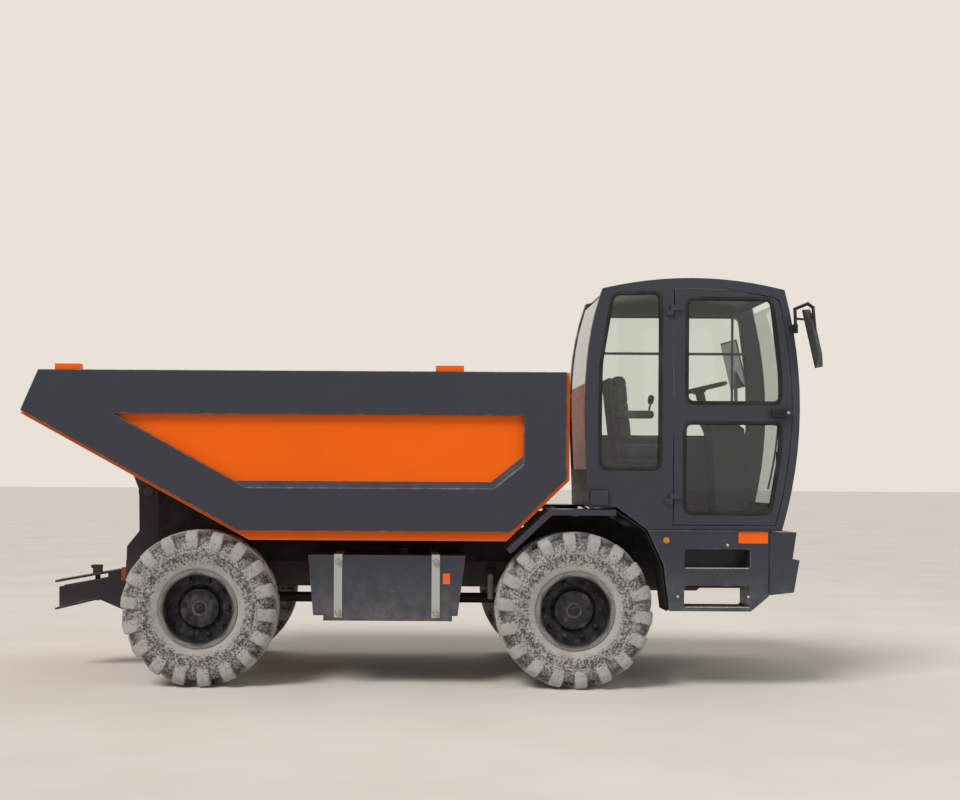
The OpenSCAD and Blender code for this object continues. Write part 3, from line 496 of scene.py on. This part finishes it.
def tyre(station):
    """A hollow carcass with its lugs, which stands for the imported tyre."""
    mesh = bmesh.new()
    layer = mesh.verts.layers.float.new("dust_and_shade")
    outline = CARCASS + tuple((-y, r, dust) for y, r, dust in reversed(CARCASS) if y > 0.0)
    for ring in turned(mesh, [(y, r) for y, r, _ in outline], RING_STEPS):
        for vert, (_, _, dust) in zip(ring, outline):
            vert[layer] = dust
    for i in range(LUGS):
        for side in (1, -1):
            lug(mesh, 2 * math.pi * (i + 0.25 * side) / LUGS, side)
    bmesh.ops.recalc_face_normals(mesh, faces=mesh.faces)
    node = "tyre_" + station
    mesh.transform(Matrix.Translation(middle(node)))
    piece = show(node + ".lugged", mesh, "wheel_" + station, MATERIALS["tyre"], 40.0)
    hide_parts(node)


def rim(station):
    """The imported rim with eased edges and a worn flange."""
    mesh = solid_of("rim_" + station)
    ease(mesh, 0.003)
    axle = middle("tyre_" + station)
    layer = mesh.verts.layers.float["worn"]
    for vert in mesh.verts:
        radius = math.hypot(vert.co.x - axle.x, vert.co.z - axle.z)
        vert[layer] = 0.8 if radius > RIM_FLANGE else 0.0
    piece = show("rim_" + station + ".eased", mesh, "wheel_" + station, MATERIALS["rim_paint"])
    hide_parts("rim_" + station)


for station in STATIONS:
    tyre(station)
    rim(station)


# Small shapes
def lathe(mesh, outline, steps, matrix=Matrix()):
    """Turns an open outline of (y, radius) about the Y axis and caps both ends."""
    rings = []
    for y, r in outline:
        rings.append([mesh.verts.new(matrix @ around(y, r, 2 * math.pi * i / steps)) for i in range(steps)])
    skin(mesh, rings)
    cap(mesh, rings)


def oblong(x0, x1, z0, z1, radius, steps=5):
    """A rectangle of (x, z) with rounded corners."""
    corners = ((x1 - radius, z1 - radius, 0), (x0 + radius, z1 - radius, 1),
               (x0 + radius, z0 + radius, 2), (x1 - radius, z0 + radius, 3))
    points = []
    for x, z, quarter in corners:
        for i in range(steps + 1):
            a = math.pi / 2 * (quarter + i / steps)
            points.append((x + radius * math.cos(a), z + radius * math.sin(a)))
    return points


def prism(mesh, outline, y0, y1):
    """A side outline of (x, z), thick from y0 to y1."""
    ends = [[mesh.verts.new(at(x, y, z)) for x, z in outline] for y in (y0, y1)]
    cap(mesh, ends)
    skin(mesh, ends)


def beam(mesh, section, x0, x1, side):
    """A section of (y, z) drawn out from x0 to x1, on the left or the right."""
    ends = [[mesh.verts.new(at(x, side * y, z)) for y, z in section] for x in (x0, x1)]
    skin(mesh, ends)
    cap(mesh, ends)


def sweep(mesh, points, radius, sides=10):
    """A round bar through a list of points, with closed ends."""
    rings = []
    side = None
    for i, point in enumerate(points):
        ahead = (points[min(i + 1, len(points) - 1)] - points[max(i - 1, 0)]).normalized()
        if side is None:
            side = ahead.orthogonal().normalized()
        side = (side - ahead * side.dot(ahead)).normalized()
        up = ahead.cross(side)
        ring = []
        for j in range(sides):
            a = 2 * math.pi * j / sides
            ring.append(mesh.verts.new(point + radius * (math.cos(a) * side + math.sin(a) * up)))
        rings.append(ring)
    skin(mesh, rings)
    cap(mesh, rings)


def smooth_path(points, steps=8):
    """Points of a curve that passes through the given ones."""
    path = []
    for i in range(len(points) - 1):
        before = points[max(i - 1, 0)]
        after = points[min(i + 2, len(points) - 1)]
        for j in range(steps):
            t = j / steps
            a = 2 * points[i] + t * (points[i + 1] - before)
            b = t * t * (2 * before - 5 * points[i] + 4 * points[i + 1] - after)
            c = t ** 3 * (3 * points[i] - before - 3 * points[i + 1] + after)
            path.append((a + b + c) / 2)
    path.append(points[-1])
    return path


def add(name, mesh, body, slot, material=None, soften=0.0):
    """Turns a new mesh's faces outward and shows it, with its edges softened."""
    bmesh.ops.recalc_face_normals(mesh, faces=mesh.faces)
    if soften:
        ease(mesh, soften)
    show(name, mesh, body, material or MATERIALS[slot])


def onto(place, direction):
    """A matrix that stands the Y axis at a place in a direction."""
    return Matrix.Translation(place) @ Vector(direction).to_track_quat("Y", "Z").to_matrix().to_4x4()


# Wheel fasteners, as outlines of (y, radius) with +Y towards the outside
NUT = ((0.0, 0.024), (0.004, 0.024), (0.0045, 0.0185), (0.020, 0.0185), (0.0235, 0.0155))
STUD = ((0.0, 0.0095), (0.031, 0.0095), (0.034, 0.0075))
CAP_SCREW = ((0.0, 0.0125), (0.011, 0.0125), (0.013, 0.0105), (0.013, 0.0062), (0.007, 0.0058))
VALVE = ((0.0, 0.007), (0.022, 0.006), (0.023, 0.0045), (0.040, 0.0045), (0.042, 0.003))
DRAIN_PLUG = ((0.0, 0.040), (0.006, 0.038), (0.007, 0.022), (0.018, 0.021), (0.020, 0.018))
# Count, place along the axle and radius of the circles of nuts and screws
NUT_CIRCLE = (10, 0.0362, 0.190)
SCREW_CIRCLE = (9, 0.0845, 0.105)


def wheel_fasteners(station):
    """Nuts, studs and valve on the rim's disc, and screws and plug on the hub."""
    outward = -1.0 if station.endswith("r") else 1.0
    hub = onto(middle("tyre_" + station), (0.0, outward, 0.0))
    nuts = bmesh.new()
    count, y, radius = NUT_CIRCLE
    for i in range(count):
        spot = hub @ Matrix.Translation(around(y, radius, 2 * math.pi * (i + 0.5) / count))
        lathe(nuts, NUT, 6, spot)
        lathe(nuts, STUD, 10, spot)
    lathe(nuts, VALVE, 10, hub @ Matrix.Translation(around(0.036, 0.213, 0.35)))
    add("wheel_nuts_" + station, nuts, "wheel_" + station, "steel", MATERIALS["casting"])
    screws = bmesh.new()
    count, y, radius = SCREW_CIRCLE
    for i in range(count):
        lathe(screws, CAP_SCREW, 12, hub @ Matrix.Translation(around(y, radius, 2 * math.pi * i / count)))
    lathe(screws, DRAIN_PLUG, 24, hub @ Matrix.Translation(around(0.0865, 0.0, 0.0)))
    add("hub_screws_" + station, screws, "wheel_" + station, "rim_paint")


for station in STATIONS:
    wheel_fasteners(station)


# Window seals: their section, inward from the pane's edge and in depth behind the outer wall
SEAL_SECTION = ((-0.009, 0.0), (-0.009, -0.0025), (-0.004, -0.0045), (0.010, -0.0045), (0.017, 0.002),
                (0.017, 0.0195), (0.0005, 0.0195), (0.0005, 0.0))
WALL_TO_PANE = 0.020


def pane_outlines(node):
    """Outer outlines of the flat panes of a glass node, with the way they face."""
    mesh = solid_of(node)
    outlines = []
    for face in mesh.faces:
        facing = 1.0 if face.normal.y > 0 else -1.0
        middle_y = face.calc_center_median().y
        near_side = middle_y < -0.5
        if abs(face.normal.y) > 0.99 and face.calc_area() > 0.05 and (facing < 0) == near_side:
            outlines.append((facing, [v.co.copy() for v in face.verts]))
    mesh.free()
    return outlines


def seal(mesh, facing, outline):
    """Sweeps the seal's section round one pane."""
    centre = sum(outline, Vector()) / len(outline)
    rings = []
    for i, point in enumerate(outline):
        into = (point - outline[i - 1]).normalized()
        away = (outline[(i + 1) % len(outline)] - point).normalized()
        inward = Vector((-into.z - away.z, 0.0, into.x + away.x)).normalized()
        if inward.dot(centre - point) < 0:
            inward.negate()
        wall = point.y + facing * WALL_TO_PANE
        ring = []
        for inset, depth in SEAL_SECTION:
            spot = point + inward * inset
            ring.append(mesh.verts.new((spot.x, wall - facing * depth, spot.z)))
        rings.append(ring)
    skin(mesh, rings, loop=True)


def seals(node, body):
    """Seals round the flat panes of a glass node."""
    mesh = bmesh.new()
    for facing, outline in pane_outlines(node):
        seal(mesh, facing, outline)
    add(node + "_seals", mesh, body, "plastic", SEAL)


seals("door_glass", "door")
seals("cab_glass", "chassis")


LOCK_BUTTON = ((0.0, 0.011), (0.004, 0.011), (0.0055, 0.0095), (0.0055, 0.0065), (0.003, 0.006))


def door_handle():
    """A shell over the block on the door, with a grip and a lock button."""
    shell = bmesh.new()
    prism(shell, oblong(1.326, 1.459, 1.866, 1.924, 0.012), NEAR - 0.0005, NEAR - 0.0325)
    add("handle_shell", shell, "door", "plastic", soften=0.004)
    grip = bmesh.new()
    prism(grip, oblong(1.336, 1.412, 1.884, 1.908, 0.008), NEAR - 0.030, NEAR - 0.0385)
    add("handle_grip", grip, "door", "plastic", SEAL, soften=0.003)
    button = bmesh.new()
    lathe(button, LOCK_BUTTON, 24, onto(at(1.434, NEAR - 0.032, 1.897), (0.0, -1.0, 0.0)))
    add("lock_button", button, "door", "steel")


door_handle()


# Blank plates, covers and straps
def plate(name, x0, x1, z0, z1, y, proud, radius, slot, material=None):
    """A flat plate with rounded corners that stands proud of a side."""
    mesh = bmesh.new()
    facing = -1.0 if y < 0 else 1.0
    prism(mesh, oblong(x0, x1, z0, z1, radius), y, y + facing * proud)
    add(name, mesh, "chassis", slot, material, soften=min(0.0015, proud / 3))


STEP_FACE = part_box("step_panels")[0].y
plate("step_plate", 1.112, 1.312, 1.006, 1.082, STEP_FACE, 0.002, 0.004, "orange_paint")
plate("bumper_joint", 1.3165, 1.3265, 0.662, 1.084, STEP_FACE, 0.0012, 0.003, "plastic", SEAL)
plate("cab_joint", 0.500, 1.404, 1.0925, 1.1005, NEAR, 0.0012, 0.003, "plastic", SEAL)
plate("cover_seam", 0.092, 0.224, 1.262, 1.368, NEAR, 0.003, 0.010, "plastic", SEAL)
plate("cover", 0.098, 0.216, 1.266, 1.360, NEAR, 0.012, 0.012, "body_paint")


# Straps along X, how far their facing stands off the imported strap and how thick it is
STRAPS = ((-1.647, -1.592), (-0.977, -0.922))
STRAP_PROUD = 0.0015
STRAP_THICK = 0.012
# The facing's inner end on the tank's top, its inner end underneath, and the height of its underside
STRAP_TOP_Y = 0.43
STRAP_FOOT_Y = 0.93
STRAP_FOOT_Z = 0.478


def tank_strap(name, tank, x0, x1):
    """A facing on a strap, over the tank's top, face and underside, bolted at both ends."""
    low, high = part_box(tank)
    side = 1.0 if high.y > 0.5 else -1.0
    face = (high.y if side > 0 else -low.y) + STRAP_PROUD
    top = high.z + STRAP_PROUD
    foot = STRAP_FOOT_Z
    line = ((STRAP_TOP_Y, top), (face, top), (face, foot), (STRAP_FOOT_Y, foot),
            (STRAP_FOOT_Y, foot + STRAP_THICK), (face - STRAP_THICK, foot + STRAP_THICK),
            (face - STRAP_THICK, top - STRAP_THICK), (STRAP_TOP_Y, top - STRAP_THICK))
    mesh = bmesh.new()
    beam(mesh, line, x0 - 0.001, x1 + 0.001, side)
    add(name, mesh, "chassis", "body_paint", STRAP, soften=0.003)
    bolt = bmesh.new()
    for z in (top - 0.045, foot + 0.04):
        lathe(bolt, NUT, 6, onto(at((x0 + x1) / 2, side * face, z), (0.0, side, 0.0)))
    add(name + "_bolts", bolt, "chassis", "steel")


for tank in ("fuel_tank", "hydraulic_tank"):
    for i, (x0, x1) in enumerate(STRAPS):
        tank_strap(tank + "_strap_" + str(i), tank, x0, x1)
plate("tank_label", -0.900, -0.852, 0.712, 0.784, -0.9901, 0.002, 0.004, "orange_paint")


FILLER_NECK = ((0.0, 0.046), (0.012, 0.046), (0.014, 0.042), (0.024, 0.042))
FILLER_CAP = ((0.022, 0.052), (0.024, 0.054), (0.040, 0.054), (0.046, 0.048), (0.047, 0.012))


def filler(name, tank):
    """A screw cap on its neck, on the tank's top."""
    low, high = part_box(tank)
    mesh = bmesh.new()
    place = Vector(((low.x + high.x) / 2 + 0.12, (low.y + high.y) / 2, high.z - 0.006))
    spot = onto(place, (0.0, 0.0, 1.0))
    lathe(mesh, FILLER_NECK, 32, spot)
    lathe(mesh, FILLER_CAP, 14, spot)
    add(name, mesh, "chassis", "plastic", soften=0.001)


filler("fuel_cap", "fuel_tank")
filler("oil_cap", "hydraulic_tank")


FILTER_CAN = ((0.0, 0.016), (0.006, 0.021), (0.165, 0.022), (0.172, 0.020), (0.185, 0.020))
FILTER_HEAD = ((0.180, 0.026), (0.184, 0.029), (0.215, 0.029), (0.222, 0.024))


def oil_filter():
    """An oil filter that hangs on the frame rail, ahead of the tank."""
    upright = onto(at(-0.540, -0.440, 0.565), (0.0, 0.0, 1.0))
    can = bmesh.new()
    lathe(can, FILTER_CAN, 32, upright)
    add("filter_can", can, "chassis", "steel", STRAP)
    head = bmesh.new()
    lathe(head, FILTER_HEAD, 32, upright)
    prism(head, oblong(-0.580, -0.500, 0.752, 0.788, 0.006), -0.3802, -0.432)
    add("filter_head", head, "chassis", "casting", soften=0.002)


oil_filter()


# Heights of the steps, and the buttons and screws on them
STEP_TOPS = (0.8332, 0.5672)
TREAD_BUTTON = ((-0.002, 0.013), (0.004, 0.0115), (0.0055, 0.0085))
BUTTON_ROWS, BUTTONS_IN_ROW = 4, 11
PANEL_SCREW = ((0.0, 0.010), (0.004, 0.010), (0.0065, 0.007), (0.0065, 0.003))
PANEL_SCREWS = ((1.038, 0.993), (1.180, 0.640), (0.700, 0.640))


def treads(side):
    """Raised treads on the steps with a bright front edge, and the screws of the step panel."""
    mesh = bmesh.new()
    edges = bmesh.new()
    for top in STEP_TOPS:
        for row in range(BUTTON_ROWS):
            y = side * (0.90 + 0.040 * row)
            for i in range(BUTTONS_IN_ROW):
                x = 0.780 + 0.0375 * i + 0.018 * (row % 2)
                lathe(mesh, TREAD_BUTTON, 10, onto(at(x, y, top), (0, 0, 1)))
        strip = [(0.752, top - 0.001), (1.184, top - 0.001), (1.184, top + 0.006), (0.752, top + 0.006)]
        prism(edges, strip, side * 1.026, side * 1.0515)
    name = "right" if side < 0 else "left"
    add("tread_buttons_" + name, mesh, "chassis", "body_paint")
    add("tread_edges_" + name, edges, "chassis", "steel", soften=0.0018)
    screw = bmesh.new()
    for x, z in PANEL_SCREWS:
        lathe(screw, PANEL_SCREW, 20, onto(at(x, side * -STEP_FACE, z), (0.0, side, 0.0)))
    add("panel_screws_" + name, screw, "chassis", "steel")


treads(-1.0)
treads(1.0)


BEZEL = ((0.0, 0.0625), (0.010, 0.0600), (0.0125, 0.0640), (0.0125, 0.0745), (0.0085, 0.0790),
         (-0.004, 0.0790))
PIN = ((0.0, 0.013), (0.014, 0.0195), (0.215, 0.0195), (0.216, 0.031), (0.228, 0.033), (0.236, 0.029))


def bezels():
    """Rings round the head lamps."""
    mesh = bmesh.new()
    for y in (-0.800, 0.800):
        turned(mesh, BEZEL, 56, onto(at(1.4895, y, 0.990), (0.99, 0.0, 0.14)))
    add("lamp_bezels", mesh, "chassis", "plastic")


def drop_pin():
    """A pin through the towing jaw, with a block for its head."""
    mesh = bmesh.new()
    lathe(mesh, PIN, 28, onto(at(-3.475, 0.0, 0.500), (0.0, 0.0, 1.0)))
    for x0, x1, z0, z1 in ((-3.507, -3.443, 0.704, 0.752), (-3.522, -3.440, 0.746, 0.770)):
        prism(mesh, oblong(x0, x1, z0, z1, 0.010), -0.030, 0.030)
    add("drop_pin", mesh, "chassis", "steel", MATERIALS["casting"], soften=0.003)


bezels()
drop_pin()


# Share of the mirror's face and height above it, from the glass's edge inward
MIRROR_STEPS = ((0.95, 0.0002), (0.93, 0.0022), (0.86, 0.0022), (0.84, 0.0012))


def mirror_glass(node):
    """Glass on the widest face of a mirror's head that looks to the rear."""
    mesh = solid_of(node)
    face = max((f for f in mesh.faces if f.normal.x < -0.5), key=lambda f: f.calc_area())
    normal = face.normal.copy()
    centre = face.calc_center_median()
    corners = [v.co.copy() for v in face.verts]
    mesh.free()
    glass = bmesh.new()
    rings = []
    for share, lift in MIRROR_STEPS:
        rings.append([glass.verts.new(centre + (c - centre) * share + normal * lift) for c in corners])
    skin(glass, rings)
    cap(glass, rings)
    add(node + "_glass", glass, "chassis", "steel", MIRROR)


mirror_glass("mirror_right")
mirror_glass("mirror_left")


# Seat: blown cushions with sewn channels
SEAT_Y = middle("seat_cushion").y
SEAT_HALF = 0.222
VOXEL = 0.007
PAD_FRAMES = 20
PAD_SWELL = 0.012
# Depth and width of a sewn channel, the share of the width where the outer ones run, and the gap to the plate
CHANNEL_DEPTH = 0.0055
CHANNEL_WIDTH = 0.006
OUTER_CHANNELS = 0.62
PAD_GAP = 0.0006


def swell(pad, limit):
    """Blows a pad up with cloth pressure, with no point moved further than the limit."""
    start = [v.co.copy() for v in pad.data.vertices]
    cloth = pad.modifiers.new("cloth", "CLOTH")
    cloth.settings.use_pressure = True
    cloth.settings.uniform_pressure_force = 4.0
    cloth.settings.effector_weights.gravity = 0.0
    cloth.settings.quality = 5
    for step in range(1, PAD_FRAMES + 1):
        bpy.context.scene.frame_set(step)
    blown = applied(pad)
    pad.modifiers.remove(cloth)
    bpy.context.scene.frame_set(1)
    for vert, before, after in zip(pad.data.vertices, start, blown.vertices):
        move = after.co - before
        vert.co = before + (move if move.length < limit else move * (limit / move.length))
    bpy.data.meshes.remove(blown)


def cushion(node, outline, rest_point, rest_normal, channels, across):
    """A pad that stands for a soft solid: swollen, flat where it rests, and sewn along its channels."""
    mesh = bmesh.new()
    prism(mesh, outline, SEAT_Y - SEAT_HALF, SEAT_Y + SEAT_HALF)
    bmesh.ops.recalc_face_normals(mesh, faces=mesh.faces)
    ease(mesh, 0.026, 3)
    pad = show(node + ".padded", mesh, "chassis", MATERIALS["vinyl"], 60.0)
    grid = pad.modifiers.new("grid", "REMESH")
    grid.mode = "VOXEL"
    grid.voxel_size = VOXEL
    remeshed = applied(pad)
    pad.modifiers.remove(grid)
    pad.data = remeshed
    swell(pad, PAD_SWELL)
    smooth = pad.modifiers.new("smooth", "SUBSURF")
    smooth.levels = 1
    smooth.render_levels = 1
    finer = applied(pad)
    pad.modifiers.remove(smooth)
    pad.data = finer
    normals = [v.normal.copy() for v in finer.vertices]
    for vert, normal in zip(finer.vertices, normals):
        place = vert.co - at(0.0, 0.0, 0.0)
        gaps = [abs(place.dot(across) - c) for c in channels]
        gaps.append(abs(abs(place.y - SEAT_Y) - SEAT_HALF * OUTER_CHANNELS))
        vert.co -= normal * CHANNEL_DEPTH * math.exp(-(min(gaps) / CHANNEL_WIDTH) ** 2)
        under = (vert.co - rest_point).dot(rest_normal)
        if under < PAD_GAP:
            vert.co += rest_normal * (PAD_GAP - under)
    finer.materials.clear()
    finer.materials.append(MATERIALS["vinyl"])
    finer.shade_smooth()
    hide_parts(node)


CUSHION_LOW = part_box("seat_cushion")[0].z - 0.0003
cushion("seat_cushion", ((0.380, 1.590), (0.820, 1.590), (0.828, 1.668), (0.376, 1.676)),
        at(0.0, 0.0, CUSHION_LOW), Vector((0.0, 0.0, 1.0)), (0.49, 0.60, 0.71), Vector((1.0, 0.0, 0.0)))
# The back leans on its plate: the plate's foot, and how far it goes to the rear for each metre of height
BACK_FOOT_X, BACK_FOOT_Z = 0.350, 1.580
BACK_LEAN = 0.12
BACK_LOW, BACK_HIGH = 1.710, 2.172


def back_point(z, forward):
    """A point at a height, forward of the leaning plate."""
    return (BACK_FOOT_X - (z - BACK_FOOT_Z) * BACK_LEAN + forward, z)


cushion("seat_back", (back_point(BACK_LOW, 0.010), back_point(BACK_LOW, 0.082),
                      back_point(BACK_HIGH, 0.090), back_point(BACK_HIGH, 0.010)),
        at(BACK_FOOT_X, 0.0, BACK_FOOT_Z), Vector((1.0, 0.0, BACK_LEAN)).normalized(),
        (1.80, 1.92, 2.04), Vector((-BACK_LEAN, 0.0, 1.0)).normalized())
JOYSTICK_KNOB = ((0.050, 0.012), (0.060, 0.019), (0.085, 0.022), (0.105, 0.019), (0.114, 0.010))


def controls():
    """An armrest with a joystick on the door's side of the seat, and a display on the dash."""
    rest = bmesh.new()
    prism(rest, oblong(0.352, 0.560, 1.862, 1.916, 0.022), SEAT_Y - 0.325, SEAT_Y - 0.252)
    add("armrest", rest, "chassis", "vinyl", soften=0.012)
    arm = bmesh.new()
    prism(arm, oblong(0.290, 0.372, 1.872, 1.904, 0.012), SEAT_Y - 0.285, SEAT_Y - 0.180)
    add("armrest_arm", arm, "chassis", "plastic", soften=0.004)
    lever = bmesh.new()
    foot = at(0.530, SEAT_Y - 0.288, 1.912)
    bends = [foot, foot + Vector((0.004, 0.0, 0.03)), foot + Vector((0.012, 0.0, 0.058))]
    sweep(lever, smooth_path(bends, 4), 0.007)
    lathe(lever, JOYSTICK_KNOB, 20, onto(foot, (0.15, 0.0, 1.0)))
    add("joystick", lever, "chassis", "plastic")
    display = bmesh.new()
    prism(display, oblong(1.052, 1.078, 1.862, 1.992, 0.008), SEAT_Y + 0.055, SEAT_Y + 0.215)
    tilt = Matrix.Rotation(math.radians(-14.0), 3, "Y")
    bmesh.ops.rotate(display, cent=at(1.065, SEAT_Y, 1.862), matrix=tilt, verts=display.verts)
    add("display", display, "chassis", "plastic", SCREEN, soften=0.005)


controls()


# Dark covers that close the frame's sides, in the front wheel arches and ahead of the hinge towers
ARCH_PANEL = ((-0.220, 0.900), (0.485, 0.900), (0.485, 1.055), (0.290, 1.184), (-0.220, 1.184))
TOWER_COVER = ((-2.945, 0.660), (-2.300, 0.660), (-2.300, 1.045), (-2.945, 1.398))
COVERS = {"arch_panel_": (ARCH_PANEL, 0.500, 0.508), "tower_cover_": (TOWER_COVER, 0.4402, 0.448)}
# Section of the angles on top of the rails, which close the gap under the skip, and where they run
RAIL_ANGLE = ((0.350, 0.8302), (0.394, 0.8302), (0.394, 0.995), (0.386, 0.995), (0.386, 0.838),
              (0.350, 0.838))
RAIL_REAR, RAIL_FRONT = -2.280, -0.360
SIDES = {"right": -1.0, "left": 1.0}
for name, (outline, y0, y1) in COVERS.items():
    for word, side in SIDES.items():
        sheet = bmesh.new()
        prism(sheet, outline, side * y0, side * y1)
        add(name + word, sheet, "chassis", "plastic", LINER, soften=0.002)
for word, side in SIDES.items():
    angle = bmesh.new()
    beam(angle, RAIL_ANGLE, RAIL_REAR, RAIL_FRONT, side)
    add("rail_angle_" + word, angle, "chassis", "plastic", LINER, soften=0.0015)


# The windscreen's side curve, as the (x, z) of its two ends and the two points that it bends towards
SCREEN_CURVE = ((1.411, 1.092), (1.566, 1.640), (1.566, 2.189), (1.418, 2.737))
BLADE_STEPS = 14
WIPER_CAP = ((-0.006, 0.024), (0.016, 0.024), (0.026, 0.019), (0.030, 0.010))


def on_glass(t, y, proud):
    """A place in front of the windscreen, at a share of the way up its curve."""
    s = 1.0 - t
    weights = (s ** 3, 3 * s * s * t, 3 * s * t * t, t ** 3)
    x = sum(w * point[0] for w, point in zip(weights, SCREEN_CURVE))
    z = sum(w * point[1] for w, point in zip(weights, SCREEN_CURVE))
    return at(x + proud, y, z)


def wiper():
    """A wiper laid along the glass."""
    blade = bmesh.new()
    shares = [i / BLADE_STEPS for i in range(BLADE_STEPS + 1)]
    rail = [on_glass(0.17 + 0.34 * share, -0.40 - 0.10 * share, 0.004) for share in shares]
    sweep(blade, rail, 0.0075, 8)
    add("wiper_blade", blade, "chassis", "plastic", SEAL)
    arm = bmesh.new()
    reach = [on_glass(0.075, -0.56, 0.004), on_glass(0.085, -0.555, 0.026), on_glass(0.19, -0.51, 0.030),
             on_glass(0.335, -0.452, 0.014)]
    sweep(arm, smooth_path(reach, 6), 0.0065, 10)
    lathe(arm, WIPER_CAP, 24, onto(on_glass(0.075, -0.56, 0.0), (1.0, 0.0, -0.25)))
    add("wiper_arm", arm, "chassis", "plastic")


wiper()


# Stage, light and camera
FLOOR_SIZE = 300.0


def stage():
    """A wide pale floor."""
    mesh = bmesh.new()
    bmesh.ops.create_grid(mesh, x_segments=2, y_segments=2, size=FLOOR_SIZE / 2)
    data = bpy.data.meshes.new("floor")
    mesh.to_mesh(data)
    mesh.free()
    s = Shades("pale_floor")
    cloudy = s.spread(s.noise(0.8, 4.0), 0.3, 0.7)
    s.set(base_color=s.mix(cloudy, colour("#e9e2d9"), colour("#e3dbd1")), roughness=0.9)
    data.materials.append(s.material)
    floor = bpy.data.objects.new("floor", data)
    bpy.context.scene.collection.objects.link(floor)


def sky():
    """A soft light from all round, which shows as a pale backdrop to the camera and in metal and glass."""
    world = bpy.data.worlds.new("studio")
    world.use_nodes = True
    bpy.context.scene.world = world
    tree = world.node_tree
    light = tree.nodes["Background"]
    light.inputs["Color"].default_value = (1.0, 0.985, 0.96, 1.0)
    light.inputs["Strength"].default_value = 0.3
    seen = tree.nodes.new("ShaderNodeBackground")
    seen.inputs["Color"].default_value = colour("#e9e2d8")
    path = tree.nodes.new("ShaderNodeLightPath")
    either = tree.nodes.new("ShaderNodeMath")
    either.operation = "MAXIMUM"
    tree.links.new(path.outputs["Is Camera Ray"], either.inputs[0])
    tree.links.new(path.outputs["Is Transmission Ray"], either.inputs[1])
    any_seen = tree.nodes.new("ShaderNodeMath")
    any_seen.operation = "MAXIMUM"
    tree.links.new(either.outputs["Value"], any_seen.inputs[0])
    tree.links.new(path.outputs["Is Glossy Ray"], any_seen.inputs[1])
    blend = tree.nodes.new("ShaderNodeMixShader")
    tree.links.new(any_seen.outputs["Value"], blend.inputs["Fac"])
    tree.links.new(light.outputs["Background"], blend.inputs[1])
    tree.links.new(seen.outputs["Background"], blend.inputs[2])
    tree.links.new(blend.outputs["Shader"], tree.nodes["World Output"].inputs["Surface"])


def lamp(name, place, aim, size, watts):
    """A round lamp that points at a place."""
    data = bpy.data.lights.new(name, "AREA")
    data.energy = watts
    data.shape = "DISK"
    data.size = size
    light = bpy.data.objects.new(name, data)
    light.location = place
    light.rotation_euler = (aim - place).to_track_quat("-Z", "Y").to_euler()
    bpy.context.scene.collection.objects.link(light)


def sun():
    """A broad key light from the left, which falls evenly on the floor."""
    data = bpy.data.lights.new("key", "SUN")
    data.energy = 2.0
    data.angle = math.radians(24.0)
    light = bpy.data.objects.new("key", data)
    light.rotation_euler = Vector((0.50, 0.62, -0.85)).to_track_quat("-Z", "Y").to_euler()
    bpy.context.scene.collection.objects.link(light)


# The photograph's frame, the pixel that its lens looks straight at, its focal length in pixels and its roll
IMAGE_WIDTH, IMAGE_HEIGHT = 960, 800
LENS_PIXEL = (400, 476)
FOCAL_PIXELS = 1436
ROLL = -0.34
SENSOR = 36.0


def camera():
    """The photograph's view: square on to the cab's side from about 10 m, framed off the lens's middle."""
    data = bpy.data.cameras.new("photo_view")
    data.sensor_fit = "HORIZONTAL"
    data.sensor_width = SENSOR
    data.lens = FOCAL_PIXELS / IMAGE_WIDTH * SENSOR
    data.shift_x = (IMAGE_WIDTH / 2 - LENS_PIXEL[0]) / IMAGE_WIDTH
    data.shift_y = (LENS_PIXEL[1] - IMAGE_HEIGHT / 2) / IMAGE_WIDTH
    view = bpy.data.objects.new("photo_view", data)
    view.location = at(-1.199, -10.84, 1.452)
    view.rotation_euler = Euler((math.radians(90.0), math.radians(ROLL), 0.0), "XYZ")
    bpy.context.scene.collection.objects.link(view)
    bpy.context.scene.camera = view


stage()
sky()
sun()
lamp("fill", at(6.0, -7.0, 5.0), at(-1.0, 0.0, 1.2), 6.0, 110.0)
lamp("top", at(-1.2, 3.0, 9.5), at(-1.2, 0.0, 1.0), 6.0, 120.0)
camera()
bpy.context.scene.view_settings.view_transform = "Standard"
